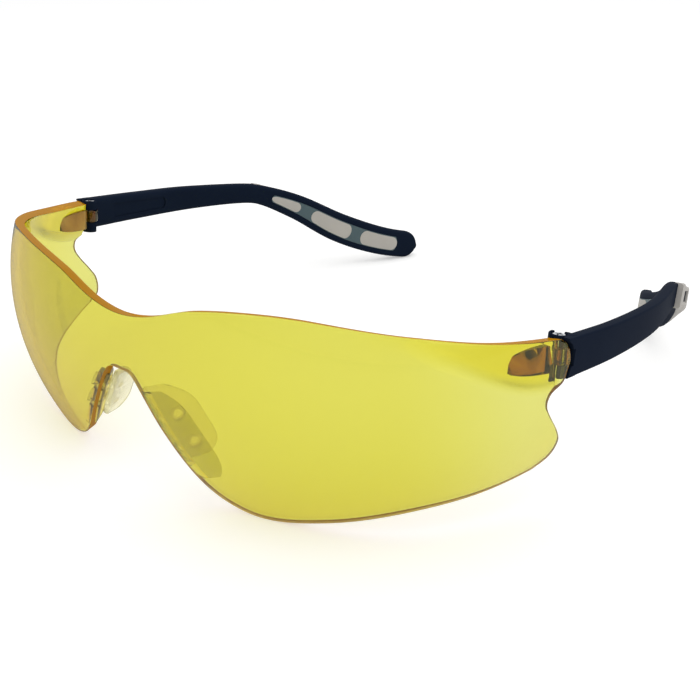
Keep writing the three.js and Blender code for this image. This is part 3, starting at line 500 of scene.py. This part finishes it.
def nose_fence():
    """The moulded fin that carries a nose pad, with the holes for its pegs."""
    fence = rounded(nose_fin("fence", FENCE_BACK, -FENCE_ROOT, FENCE_DEPTH, 0,
                             FENCE_THICKNESS, (0, 1)), FENCE_ROUNDING)
    holes = [nose_peg(t, PEG_RADIUS + PEG_CLEARANCE, -FENCE_THICKNESS, 2 * FENCE_THICKNESS)
             for t in PEG_PLACES]
    return with_solids(fence, holes, "DIFFERENCE")


def lens_shell():
    """The bare shield, its rim marked and rounded."""
    angle, height = lens_grid()
    angle = np.concatenate([-angle[:0:-1], angle])
    height = np.concatenate([height[:0:-1], height])
    outer = shield_point(angle, height)
    inner = outer + into_lens(angle, height) * lens_thickness(angle, height)[..., None]
    shell = plate("amber_lens", outer, inner)
    skins = 2 * (len(outer) - 1) * (outer.shape[1] - 1)
    return rounded(marked(shell, "rim", lambda face: face.index >= skins), RIM_ROUNDING,
                   above=RIM_TURN)


# The pockets run past the fork, and the bore past the barrel.
CUT_PAST, BORE_REACH = 4, 3


def lens_piece():
    """The shield cut clear of the lugs, with its bosses, barrels and fences, then bored."""
    lens = lens_shell()
    room = LUG_RADIUS + RUNNING_CLEARANCE
    pockets = [prism("pocket", disc(HINGE_X, HINGE_Y, room), low, high)
               for low, high in ((BARREL_HALF, FORK_TOP + CUT_PAST),
                                 (FORK_BOTTOM - CUT_PAST, -BARREL_HALF))]
    pockets += [mirrored(pocket, "pocket") for pocket in pockets]
    with_solids(lens, pockets, "DIFFERENCE")
    added = [marked(piece, "root") for piece in (hinge_boss(), hinge_barrel(), hinge_neck())]
    added.append(nose_fence())
    added += [mirrored(piece, piece.name) for piece in added]
    with_solids(lens, added, "UNION")
    bore = prism("bore", disc(HINGE_X, HINGE_Y, BORE_RADIUS, 32), -BORE_REACH, BORE_REACH)
    return with_solids(lens, [bore, mirrored(bore, "bore")], "DIFFERENCE")


# Worn, the temples are level; on the table the whole is tipped about the hinge line.
fold = next(j for j in frame["joints"] if j["name"] == "left_temple_fold")
AS_RESTED = (Matrix.Translation(fold["pos_m"])
             @ Matrix.Rotation(-math.atan2(fold["axis"][1], fold["axis"][2]), 4, "X")
             @ Matrix.Scale(0.001, 4)
             @ Matrix.Translation((-HINGE_X, -HINGE_Y, 0)))


def finished(piece, body, material, slot, *nodes, crease=35):
    """Stands a piece made in mm as worn in its place, and gives it its finish. What the
    facets of a curve put a few hundredths past the box is drawn back to it."""
    piece.data.transform(AS_RESTED)
    for vertex in piece.data.vertices:
        vertex.co = [min(max(c, low), high) for c, low, high in zip(vertex.co, *cad_box)]
    piece.data.shade_smooth()
    piece.data.set_sharp_from_angle(angle=math.radians(crease))
    if not piece.data.materials:
        piece.data.materials.append(material)
    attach(piece, body)
    if nodes:
        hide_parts(*nodes)


# Polycarbonate, moulded and polished: clear, dyed amber in the mass, so that thin faces
# are yellow and long ways through the rim, the boss and the fences turn orange and brown.
# Its IOR is 1.585; the hard coat takes most of the mirror off the faces.
POLYCARBONATE_IOR = 1.585
DYE_DENSITY = 1400
FLOW_MM = 16.7
amber = empty_material("amber_polycarbonate")
tree = amber.node_tree
dyed = add_node(tree, "ShaderNodeVolumeAbsorption", {
    "Color": linear("#fbf77c"), "Density": DYE_DENSITY})
where = add_node(tree, "ShaderNodeTexCoord")
flow = add_node(tree, "ShaderNodeTexNoise", {
    "Vector": where.outputs["Object"], "Scale": 1000 / FLOW_MM, "Detail": 1.0})
ripple = add_node(tree, "ShaderNodeBump", {
    "Height": flow.outputs["Fac"], "Strength": 0.02, "Distance": 0.0005})

# The tint of a face: pale on the shield, brown on the hinge's thick root, and richer where
# a face turns away and the way through it is long.
root = add_node(tree, "ShaderNodeAttribute", attribute_name="root")
depth = add_node(tree, "ShaderNodeMix", {
    "Factor": root.outputs["Fac"], 6: linear("#dfe6ff"), 7: linear("#612503")},
    data_type="RGBA")
slant = add_node(tree, "ShaderNodeLayerWeight", {"Blend": 0.5})
steep = add_node(tree, "ShaderNodeMath", {0: slant.outputs["Facing"], 1: 3.0},
                 operation="POWER")
long_way = add_node(tree, "ShaderNodeMix", {
    "Factor": steep.outputs[0], 6: depth.outputs[2], 7: linear("#ddc43f")},
    data_type="RGBA")
polished = add_node(tree, "ShaderNodeBsdfPrincipled", {
    "Base Color": long_way.outputs[2], "Roughness": 0.02, "IOR": POLYCARBONATE_IOR,
    "Transmission Weight": 1.0, "Specular IOR Level": 0.1,
    "Specular Tint": linear("#fff7bc"), "Normal": ripple.outputs[0]})

# Near the outline the coat keeps the dye's yellow instead of a white mirror.
COATED_SHARE = 0.9
coated = add_node(tree, "ShaderNodeBsdfRefraction", {
    "Color": linear("#f2ec8e"), "Roughness": 0.05, "IOR": POLYCARBONATE_IOR})
coated_share = add_node(tree, "ShaderNodeMath", {0: steep.outputs[0], 1: COATED_SHARE},
                        operation="MULTIPLY")
faces = add_node(tree, "ShaderNodeMixShader", {
    0: coated_share.outputs[0], 1: polished.outputs[0], 2: coated.outputs[0]})

# Light caught inside the sheet leaves through its rim, which glows a deep orange.
RIM_SHARE = 0.72
rim = add_node(tree, "ShaderNodeAttribute", attribute_name="rim")
lit_edge = add_node(tree, "ShaderNodeBsdfDiffuse", {"Color": linear("#c98a04")})
rim_share = add_node(tree, "ShaderNodeMath", {0: rim.outputs["Fac"], 1: RIM_SHARE},
                     operation="MULTIPLY")
clear = add_node(tree, "ShaderNodeMixShader", {
    0: rim_share.outputs[0], 1: faces.outputs[0], 2: lit_edge.outputs[0]})

# A shadow through it is light and barely tinted.
thrown = add_node(tree, "ShaderNodeBsdfTransparent", {"Color": linear("#fcfbf1")})
path = add_node(tree, "ShaderNodeLightPath")
either = add_node(tree, "ShaderNodeMixShader", {
    0: path.outputs["Is Shadow Ray"], 1: clear.outputs[0], 2: thrown.outputs[0]})
add_node(tree, "ShaderNodeOutputMaterial", {
    "Surface": either.outputs[0], "Volume": dyed.outputs[0]})

finished(lens_piece(), "frame", amber, "amber_polycarbonate", "lens")


# ---- Hinge screws --------------------------------------------------------------------
# A short plated steel screw with a cross recess goes down through both lugs of the fork
# and the barrel between them; its head sits just below the upper lug's top.

HEAD_SUNK, END_INSET = 0.25, 0.7
HEAD_TOP, SCREW_END = FORK_TOP - HEAD_SUNK, FORK_BOTTOM + END_INSET
HEAD_HEIGHT, HEAD_RADIUS = 0.8, 1.4
HEAD_BOTTOM = HEAD_TOP - HEAD_HEIGHT
CROWN_WIDTH, CROWN_HEIGHT = 0.35, 0.3
POINT_RADIUS, POINT_HEIGHT = 0.55, 0.5
CROSS_HALF_WIDTH, CROSS_ARM, CROSS_DEPTH = 0.2, 0.85, 0.4


def turned(name, profile, sides=48):
    """A solid turned round the hinge's axis from a profile of (radius, height) pairs."""
    rings = [[(HINGE_X + r * math.cos(t), HINGE_Y + r * math.sin(t), z)
              for t in np.arange(sides) * 2 * math.pi / sides] for r, z in profile]
    return lofted(name, rings)


def hinge_screw():
    """A shank with a small point, a crowned head, and the cross cut in it."""
    profile = [(POINT_RADIUS, SCREW_END), (SCREW_RADIUS, SCREW_END + POINT_HEIGHT),
               (SCREW_RADIUS, HEAD_BOTTOM), (HEAD_RADIUS, HEAD_BOTTOM)]
    crown = [(HEAD_RADIUS - CROWN_WIDTH * (1 - math.cos(t)),
              HEAD_TOP - CROWN_HEIGHT * (1 - math.sin(t)))
             for t in np.linspace(0, math.pi / 2, 6)]
    screw = turned("chrome_screw", profile + crown)
    recess = []
    for long, wide in ((CROSS_ARM, CROSS_HALF_WIDTH), (CROSS_HALF_WIDTH, CROSS_ARM)):
        bar = [(HINGE_X + sx * long, HINGE_Y + sy * wide)
               for sx, sy in ((-1, -1), (1, -1), (1, 1), (-1, 1))]
        recess.append(prism("recess", bar, HEAD_TOP - CROSS_DEPTH, HEAD_TOP + CROSS_DEPTH))
    return with_solids(screw, recess, "DIFFERENCE")


# Steel with bright nickel and chrome plating: a clean mirror with faint turning marks.
TURNING_MM = 0.4
chrome = empty_material("chromed_steel")
tree = chrome.node_tree
where = add_node(tree, "ShaderNodeTexCoord")
turning = add_node(tree, "ShaderNodeTexNoise", {
    "Vector": where.outputs["Object"], "Scale": 1000 / TURNING_MM, "Detail": 2.0})
worn = add_node(tree, "ShaderNodeMapRange", {
    "Value": turning.outputs["Fac"], "To Min": 0.10, "To Max": 0.22})
plated = add_node(tree, "ShaderNodeBsdfPrincipled", {
    "Base Color": linear("#c9ccd0"), "Metallic": 1.0, "Roughness": worn.outputs[0]})
add_node(tree, "ShaderNodeOutputMaterial", {"Surface": plated.outputs[0]})

screw_left = hinge_screw()
screw_left.name = "chrome_screw_left"
screw_right = mirrored(screw_left, "chrome_screw_right")
finished(screw_left, "left_arm", chrome, "chromed_steel", "hinge_screw_left")
finished(screw_right, "right_arm", chrome, "chromed_steel", "hinge_screw_right")


# ---- Temples -------------------------------------------------------------------------
# A flat arm of glass-filled nylon, dyed blue-black in the mass: a fork of two lugs at the
# front, then the arm, and behind the bend a paddle with three windows. The outer face has
# a shallow bed for the soft grip.

ARM_LENGTH, ARM_OUTSET, ARM_LEAD, ARM_BOW, ARM_TAPER_IN = 60, 3.3, 2.7, 1.1, 4.5
PADDLE_REACH, PADDLE_TURN_IN, PADDLE_DROP = 51, 26.3, 17.7
TEMPLE_THICKNESS, PADDLE_HEIGHT = 3.0, 9.1
WINDOW_LENGTHS, BAR_WIDTHS, GRIP_TIP_MARGIN = (10.9, 15, 12.2), (4.4, 3.4), 7.6
FORK_ROOT, FORK_SHOULDER, FORK_ROUNDING, FORK_SIDE = 4.5, 0.6, 0.3, 0.4
ARM_ROOT_LAP, TIP_LENGTH, OUTER_ROUND, INNER_ROUND = 1.4, 4, 0.45, 1.3
RECESS_START, RECESS_END, RECESS_DEPTH = 11, 30, 0.35
WINDOW_SKIN, WINDOW_TIP = 0.5, 1
PAST = 1


def temple_knots():
    """Where the middle of the outer face runs, from the hinge to the ear tip. The
    paddle's knots are shares of its turn in, its reach and its drop."""
    start = np.array([HINGE_X + ARM_OUTSET, HINGE_Y - ARM_LEAD, 0])

    def arm(share, outset, height):
        return np.array([start[0] + outset, start[1] + ARM_LENGTH * share, height])

    turn = arm(1, -ARM_TAPER_IN, 0.3)
    paddle = [(0.05, 0.09, 0.05), (0.22, 0.315, 0.29), (0.495, 0.56, 0.665),
              (0.82, 0.79, 0.9), (1, 1, 1)]
    return np.array([start, arm(1 / 3, ARM_BOW, 0.1), arm(2 / 3, 0.1, 0.4), turn]
                    + [turn + np.array([-i * PADDLE_TURN_IN, b * PADDLE_REACH,
                                        -d * PADDLE_DROP]) for i, b, d in paddle])


def sampled_curve(knots, per_span=60):
    """A centripetal curve through the knots, as a dense row of points."""
    ends = np.vstack([2 * knots[0] - knots[1], knots, 2 * knots[-1] - knots[-2]])
    gaps = np.linalg.norm(np.diff(ends, axis=0), axis=1) ** 0.5
    t = np.linspace(0, 1, per_span, endpoint=False)[:, None]
    rows = []
    for i in range(len(knots) - 1):
        a, b, c, d = ends[i:i + 4]
        before, here, after = gaps[i:i + 3]
        leave = ((b - a) / before - (c - a) / (before + here) + (c - b) / here) * here
        reach = ((c - b) / here - (d - b) / (here + after) + (d - c) / after) * here
        rows.append((2 * t**3 - 3 * t**2 + 1) * b + (t**3 - 2 * t**2 + t) * leave
                    + (3 * t**2 - 2 * t**3) * c + (t**3 - t**2) * reach)
    return np.vstack(rows + [knots[-1:]])


temple_line = sampled_curve(temple_knots())
line_steps = np.linalg.norm(np.diff(temple_line, axis=0), axis=1)
line_places = np.concatenate([[0], np.cumsum(line_steps)])
TEMPLE_RUN = line_places[-1]
GRIP_END = TEMPLE_RUN - GRIP_TIP_MARGIN
GRIP_START = GRIP_END - sum(WINDOW_LENGTHS) - sum(BAR_WIDTHS)

# The full height at distances along the temple.
NECK_AT, PADDLE_AT = GRIP_START - 5, GRIP_START + 33
TEMPLE_HEIGHTS = [(0, 8.1), (NECK_AT / 2, 6.9), (NECK_AT, 5.7), (GRIP_START + 8, 7.3),
                  (PADDLE_AT - 11, PADDLE_HEIGHT - 0.3), (PADDLE_AT, PADDLE_HEIGHT),
                  (TEMPLE_RUN, 8.2)]


def temple_half(s):
    return float(smooth(TEMPLE_HEIGHTS, s)) / 2


def line_point(s):
    return np.array([np.interp(s, line_places, axis) for axis in temple_line.T])


def temple_frame(s, step=0.2):
    """The outer face's point at a distance along the temple, with inward and up."""
    inside = min(max(s, step), TEMPLE_RUN - step)
    ahead = unit(line_point(inside + step) - line_point(inside - step))
    inward = unit(np.array([-ahead[1], ahead[0], 0]))
    up = unit(np.cross(ahead, inward))
    at = line_point(inside) + ahead * (s - inside)
    return at, inward, up if up[2] > 0 else -up


CORNER_LIMIT, END_TURNS = 0.45, np.radians(np.linspace(12, 80, 8))


def temple_section(s, outer, inner, half, outer_round, inner_round, steps=5):
    """A rounded oblong across the temple, between two depths behind the outer face."""
    at, inward, up = temple_frame(s)
    limit = min(inner - outer, 2 * half) * CORNER_LIMIT
    corners = [(outer, -half, outer_round, 180, 1, 1), (inner, -half, inner_round, 270, -1, 1),
               (inner, half, inner_round, 0, -1, -1), (outer, half, outer_round, 90, 1, -1)]
    ring = []
    for across, height, wanted, first, sx, sy in corners:
        radius = min(wanted, limit)
        for k in range(steps + 1):
            turn = math.radians(first + 90 * k / steps)
            px = across + sx * radius + radius * math.cos(turn)
            py = height + sy * radius + radius * math.sin(turn)
            ring.append(at + inward * px + up * py)
    return ring


def along_temple(name, start, end, outer, inner, half, head=0, tail=0, step=1.5,
                 outer_round=0.05, inner_round=0.05, proud=lambda s: 0):
    """A body along the temple; head and tail are the lengths of its rounded ends, and
    proud is how far its outer face stands out."""
    places = [start + head * (1 - math.cos(a)) for a in END_TURNS] if head else []
    count = max(1, round((end - tail - start - head) / step))
    places += list(np.linspace(start + head, end - tail, count + 1))
    places += [end - tail * (1 - math.cos(a)) for a in END_TURNS[::-1]] if tail else []

    def closing(depth, length):
        return math.sqrt(1 - ((length - depth) / length) ** 2) if depth < length else 1

    return lofted(name, [temple_section(
        s, outer - proud(s), inner, half(s) * closing(s - start, head) * closing(end - s, tail),
        outer_round, inner_round) for s in places])


GRIP_RIM, STRIP_DEPTH, BED_DEPTH, BED_RIM, MOULD_GAP = 1.9, 0.9, 0.8, 0.6, 0.04
BED_START, BED_END = GRIP_START - 6, GRIP_END + GRIP_RIM
COLLAR_END, COLLAR_PROUD, COLLAR_DEPTH = BED_START + 2.5, 0.05, 1.1
# How far the grip stands out, at distances from where the strip starts.
PAD_PROUD = [(-6, 1.2), (3, 2.3), (20, 1), (45, 0.9)]
BED_TIP = 2.4
RIB_DEPTH, RIB_SIDE, RIB_SHY, RIB_ROUNDING, FIRST_RIB = 1.1, 0.2, 0.4, 0.25, 3.6
WINDOWS = []
for i, length in enumerate(WINDOW_LENGTHS):
    first = GRIP_START + sum(WINDOW_LENGTHS[:i]) + sum(BAR_WIDTHS[:i])
    WINDOWS.append((first, first + length))
RIBS = [(GRIP_START - FIRST_RIB, GRIP_START)] + [
    (WINDOWS[i][1], WINDOWS[i][1] + width) for i, width in enumerate(BAR_WIDTHS)]


def window_half(s):
    return temple_half(s) - GRIP_RIM


def bed_half(s):
    return temple_half(s) - BED_RIM


def pad_proud(s):
    return float(smooth(PAD_PROUD, s - GRIP_START))


def collar_half(s):
    return temple_half(s) + COLLAR_PROUD


CHEEK_START, CHEEK_DEPTH, CHEEK_ROUNDING = 0.9, 1.6, 0.3
CHEEK_LOWEST, CHEEK_GAP, CLEAR_SIDE = -8, 0.35, 6


def cheek():
    """The outer face runs on past the root, up to the curved end of the lens."""
    lap = along_temple("cheek", CHEEK_START, FORK_ROOT, 0, CHEEK_DEPTH, temple_half,
                       step=0.6, outer_round=CHEEK_ROUNDING)
    angle, height = side_rows()
    edge = shield_point(angle, height)[height > CHEEK_LOWEST]
    low, high, front = edge[0], edge[-1], HINGE_Y - CLEAR_SIDE
    room = [(front, low[2] - PAST), (low[1] + CHEEK_GAP, low[2] - PAST)]
    room += [(y + CHEEK_GAP, z) for _, y, z in edge]
    room += [(high[1] + CHEEK_GAP, high[2] + PAST), (front, high[2] + PAST)]
    end_room = sideways("end_room", room, 0, SHIELD_HALF_WIDTH)
    into = into_lens(END_ANGLE, 0)
    for corner in end_room.data.vertices:
        corner.co.y += into[1] / into[0] * (corner.co.x - LENS_END[0])
    return with_solids(lap, [end_room], "DIFFERENCE")


def fork_block():
    """The fork before it is slotted: a block with a round nose about the screw."""
    at, inward, _ = temple_frame(FORK_ROOT)
    outer, inner = at + inward * FORK_SIDE, at + inward * (TEMPLE_THICKNESS - FORK_SIDE)
    nose = [(HINGE_X - LUG_RADIUS * math.cos(t), HINGE_Y - LUG_RADIUS * math.sin(t))
            for t in np.linspace(0, math.pi, 25)]
    outline = [(inner[0], inner[1]), (HINGE_X - LUG_RADIUS, HINGE_Y + FORK_SHOULDER), *nose,
               (HINGE_X + LUG_RADIUS + FORK_SHOULDER, HINGE_Y + FORK_SHOULDER),
               (outer[0], outer[1])]
    return rounded(prism("fork", outline, FORK_BOTTOM, FORK_TOP), FORK_ROUNDING)


def fork_slot():
    """The room between the two lugs, round the barrel and open to the front."""
    room = prism("room", disc(HINGE_X, HINGE_Y, BARREL_RADIUS + RUNNING_CLEARANCE),
                 -SLOT_HALF, SLOT_HALF)
    left, right = HINGE_X - CLEAR_SIDE, HINGE_X + CLEAR_SIDE
    front, back = HINGE_Y - CLEAR_SIDE, HINGE_Y + FORK_SHOULDER
    mouth = prism("mouth", [(left, front), (right, front), (right, back), (left, back)],
                  -SLOT_HALF, SLOT_HALF)
    return [room, mouth]


def nylon_temple():
    """The arm with its fork and cheek, cut for the screw and the grip, with its ribs."""
    body = along_temple("nylon_temple", FORK_ROOT - ARM_ROOT_LAP, TEMPLE_RUN, 0,
                        TEMPLE_THICKNESS, temple_half, tail=TIP_LENGTH,
                        outer_round=OUTER_ROUND, inner_round=INNER_ROUND)
    with_solids(body, [fork_block(), cheek()], "UNION")
    cuts = fork_slot()
    cuts.append(prism("bore", disc(HINGE_X, HINGE_Y, BORE_RADIUS, 32),
                      SCREW_END - RUNNING_CLEARANCE, FORK_TOP + PAST))
    cuts.append(prism("sink", disc(HINGE_X, HINGE_Y, HEAD_RADIUS + RUNNING_CLEARANCE),
                      HEAD_BOTTOM - RUNNING_CLEARANCE, FORK_TOP + PAST))
    cuts.append(along_temple("recess", RECESS_START, RECESS_END,
                             TEMPLE_THICKNESS - RECESS_DEPTH, TEMPLE_THICKNESS + PAST,
                             window_half, head=WINDOW_TIP, tail=WINDOW_TIP))
    cuts.append(along_temple("strip_bed", GRIP_START, GRIP_END,
                             TEMPLE_THICKNESS - STRIP_DEPTH, TEMPLE_THICKNESS + PAST,
                             window_half, head=WINDOW_TIP, tail=WINDOW_TIP))
    for first, last in WINDOWS:
        cuts.append(along_temple("window", first, last, WINDOW_SKIN,
                                 TEMPLE_THICKNESS - WINDOW_SKIN, window_half,
                                 head=WINDOW_TIP, tail=WINDOW_TIP))
    cuts.append(along_temple("grip_bed", BED_START, BED_END, -PAST, BED_DEPTH, bed_half,
                             tail=BED_TIP))
    cuts.append(along_temple("groove", BED_START, COLLAR_END + MOULD_GAP, -PAST,
                             COLLAR_DEPTH + MOULD_GAP, lambda s: collar_half(s) + PAST))
    with_solids(body, cuts, "DIFFERENCE")
    ribs = [rounded(along_temple("rib", first, last, 0, RIB_DEPTH,
                                 lambda s: window_half(s) + RIB_SIDE,
                                 proud=lambda s: pad_proud(s) - RIB_SHY), RIB_ROUNDING)
            for first, last in RIBS]
    return with_solids(body, ribs, "UNION")


# Nylon 12, moulded against a spark-eroded tool: blue-black, satin, with a fine even grain
# and a cool sheen where it turns away. The grain is drawn at 0.3 mm, coarser than real;
# its pits scatter the light, and the dye drifts a shade darker and lighter along the arm.
GRAIN_MM, DRIFT_MM = 0.3, 16.7
nylon = empty_material("blue_black_nylon")
tree = nylon.node_tree
where = add_node(tree, "ShaderNodeTexCoord")
grain = add_node(tree, "ShaderNodeTexNoise", {
    "Vector": where.outputs["Object"], "Scale": 1000 / GRAIN_MM, "Detail": 2.0})
drift = add_node(tree, "ShaderNodeTexNoise", {
    "Vector": where.outputs["Object"], "Scale": 1000 / DRIFT_MM, "Detail": 3.0})
tone = add_node(tree, "ShaderNodeMix", {
    "Factor": drift.outputs["Fac"], 6: linear("#111826"), 7: linear("#182131")},
    data_type="RGBA")
satin = add_node(tree, "ShaderNodeMapRange", {
    "Value": grain.outputs["Fac"], "To Min": 0.32, "To Max": 0.46})
relief = add_node(tree, "ShaderNodeBump", {
    "Height": grain.outputs["Fac"], "Strength": 0.12, "Distance": 0.00005})
moulded = add_node(tree, "ShaderNodeBsdfPrincipled", {
    "Base Color": tone.outputs[2], "Roughness": satin.outputs[0], "IOR": 1.5,
    "Specular IOR Level": 0.12, "Specular Tint": linear("#a8c4ee"),
    "Normal": relief.outputs[0]})
pits = add_node(tree, "ShaderNodeMapRange", {
    "Value": grain.outputs["Fac"], "To Min": 0.92, "To Max": 0.78})
dull = add_node(tree, "ShaderNodeBsdfDiffuse", {"Color": tone.outputs[2]})
eroded = add_node(tree, "ShaderNodeMixShader", {
    0: pits.outputs[0], 1: moulded.outputs[0], 2: dull.outputs[0]})
add_node(tree, "ShaderNodeOutputMaterial", {"Surface": eroded.outputs[0]})

temple_left = nylon_temple()
temple_left.name = "nylon_temple_left"
temple_right = mirrored(temple_left, "nylon_temple_right")
finished(temple_left, "left_arm", nylon, "black_nylon", "temple_left")
finished(temple_right, "right_arm", nylon, "black_nylon", "temple_right")


# ---- Soft grips ----------------------------------------------------------------------
# Grey thermoplastic rubber moulded through and over the nylon in a second shot: a pad in
# the bed outside, plugs that fill the windows, and a thin skin over the strip inside. It
# is slightly translucent, so the nylon bars darken the thin skin that covers them.

STRIP_PROUD, STRIP_ROUND = 0.05, 0.3
PLUG_START, PLUG_PROUD, PLUG_SIDE, PLUG_END, PLUG_ROUND = 0.6, 0.1, 0.3, 1.8, 0.1
PAD_ROUND, COLLAR_ROUND, NOTCH_OUT = 0.7, 0.5, 4


def soft_grip():
    """The inside strip, the plugs through the windows, and the outside pad in one body."""
    g = MOULD_GAP
    body = along_temple("soft_grip", GRIP_START + g, GRIP_END - g,
                        TEMPLE_THICKNESS - STRIP_DEPTH + g, TEMPLE_THICKNESS + STRIP_PROUD,
                        lambda s: window_half(s) - g, head=WINDOW_TIP,
                        tail=WINDOW_TIP, inner_round=STRIP_ROUND)
    body.data.materials.append(grip_rubber)
    body.data.materials.append(thin_rubber)
    for face in body.data.polygons:
        face.material_index = 1
    plugs = [along_temple("plug", first + g, last - g, PLUG_START,
                          TEMPLE_THICKNESS + PLUG_PROUD,
                          lambda s: window_half(s) - PLUG_SIDE, head=PLUG_END,
                          tail=PLUG_END, inner_round=PLUG_ROUND) for first, last in WINDOWS]
    pad = along_temple("pad", BED_START + g, BED_END - g, 0, BED_DEPTH - g,
                       lambda s: bed_half(s) - g, tail=BED_TIP, outer_round=PAD_ROUND,
                       proud=pad_proud)
    collar = along_temple("collar", BED_START + g, COLLAR_END, 0, COLLAR_DEPTH, collar_half,
                          step=0.5, outer_round=PAD_ROUND, inner_round=COLLAR_ROUND,
                          proud=pad_proud)
    with_solids(pad, [collar], "UNION")
    notches = [along_temple("notch", first - g, last + g, -NOTCH_OUT, BED_DEPTH + PAST,
                            lambda s: window_half(s) + RIB_SIDE + g) for first, last in RIBS]
    with_solids(pad, notches, "DIFFERENCE")
    return with_solids(body, plugs + [pad], "UNION")


# Soft thermoplastic rubber takes the tool's fine texture: matt, with a faint cloudiness
# and no clear highlight. Where it is a thin skin, the nylon below shows through as a cold
# grey-green.
CLOUD_MM, CLOUD_SHADE, TEXTURE_MM = 5.55, 0.86, 0.25


def rubber(name, colour):
    material = empty_material(name)
    tree = material.node_tree
    where = add_node(tree, "ShaderNodeTexCoord")
    cloud = add_node(tree, "ShaderNodeTexNoise", {
        "Vector": where.outputs["Object"], "Scale": 1000 / CLOUD_MM, "Detail": 4.0})
    pale = linear(colour)
    deep = (*(CLOUD_SHADE * c for c in pale[:3]), 1.0)
    tone = add_node(tree, "ShaderNodeMix", {"Factor": cloud.outputs["Fac"], 6: pale, 7: deep},
                    data_type="RGBA")
    fine = add_node(tree, "ShaderNodeTexNoise", {
        "Vector": where.outputs["Object"], "Scale": 1000 / TEXTURE_MM, "Detail": 1.0})
    relief = add_node(tree, "ShaderNodeBump", {
        "Height": fine.outputs["Fac"], "Strength": 0.15, "Distance": 0.00004})
    soft = add_node(tree, "ShaderNodeBsdfPrincipled", {
        "Base Color": tone.outputs[2], "Roughness": 0.55, "IOR": 1.5,
        "Specular IOR Level": 0.35, "Normal": relief.outputs[0]})
    add_node(tree, "ShaderNodeOutputMaterial", {"Surface": soft.outputs[0]})
    return material


grip_rubber = rubber("grey_thermoplastic_rubber", "#b8b4ae")
thin_rubber = rubber("thin_rubber_over_nylon", "#4a5d63")
grip_left = soft_grip()
grip_left.name = "soft_grip_left"
grip_right = mirrored(grip_left, "soft_grip_right")
for grip, side in ((grip_left, "left"), (grip_right, "right")):
    finished(grip, f"{side}_arm", grip_rubber, "grey_grip_rubber", f"temple_grip_{side}")


# ---- Nose pads -----------------------------------------------------------------------
# A wing of soft clear vinyl beside the nose, held by two pegs that are pulled through the
# holes of the fence until their heads snap out behind it.

PAD_THICKNESS, PAD_FRONT_GAP, NOSE_PAD_DEPTH, PAD_SPAN = 1.3, 0.5, 9.3, (-0.06, 0.76)
PAD_BACK = np.array([math.sin(NOSE_PAD_SPLAY), math.cos(NOSE_PAD_SPLAY), 0])
FENCE_GAP, PAD_ROUNDING = 0.3, 0.45
PEG_HEAD_RADIUS, PEG_HEAD_LENGTH, PEG_HEAD_ROUNDING, PEG_LAP = 1.35, 0.7, 0.2, 0.5


def nose_pad():
    """The wing with its two headed pegs."""
    wing = rounded(nose_fin("vinyl_pad", PAD_BACK, PAD_FRONT_GAP, NOSE_PAD_DEPTH,
                            -FENCE_GAP - PAD_THICKNESS, -FENCE_GAP, PAD_SPAN),
                   PAD_ROUNDING, 4)
    to_wing = PEG_SETBACK * math.tan(FENCE_SPLAY - NOSE_PAD_SPLAY) + PAD_THICKNESS
    head = FENCE_THICKNESS + FENCE_GAP
    pins = [nose_peg(t, PEG_RADIUS, -to_wing, head + PEG_LAP) for t in PEG_PLACES]
    pins += [rounded(nose_peg(t, PEG_HEAD_RADIUS, head, head + PEG_HEAD_LENGTH),
                     PEG_HEAD_ROUNDING) for t in PEG_PLACES]
    return with_solids(wing, pins, "UNION")


# Plasticised PVC, moulded clear: softly glossy, faintly yellowed and slightly hazy, so
# what is behind it shows blurred. The IOR is below the usual 1.53 of PVC, so that the thin
# wing stays pale.
RIPPLE_MM = 2.5
vinyl = empty_material("clear_vinyl")
tree = vinyl.node_tree
haze = add_node(tree, "ShaderNodeVolumeAbsorption", {
    "Color": linear("#f9f6ce"), "Density": 150})
where = add_node(tree, "ShaderNodeTexCoord")
flow = add_node(tree, "ShaderNodeTexNoise", {
    "Vector": where.outputs["Object"], "Scale": 1000 / RIPPLE_MM, "Detail": 2.0})
wavy = add_node(tree, "ShaderNodeBump", {
    "Height": flow.outputs["Fac"], "Strength": 0.15, "Distance": 0.0002})
clear = add_node(tree, "ShaderNodeBsdfPrincipled", {
    "Base Color": linear("#fdfbe9"), "Roughness": 0.25, "IOR": 1.3,
    "Transmission Weight": 0.85, "Normal": wavy.outputs[0]})
thrown = add_node(tree, "ShaderNodeBsdfTransparent", {"Color": linear("#f3f3ed")})
path = add_node(tree, "ShaderNodeLightPath")
either = add_node(tree, "ShaderNodeMixShader", {
    0: path.outputs["Is Shadow Ray"], 1: clear.outputs[0], 2: thrown.outputs[0]})
add_node(tree, "ShaderNodeOutputMaterial", {
    "Surface": either.outputs[0], "Volume": haze.outputs[0]})

pad_left = nose_pad()
pad_left.name = "vinyl_pad_left"
pad_right = mirrored(pad_left, "vinyl_pad_right")
finished(pad_left, "frame", vinyl, "clear_vinyl", "nose_pad_left")
finished(pad_right, "frame", vinyl, "clear_vinyl", "nose_pad_right")
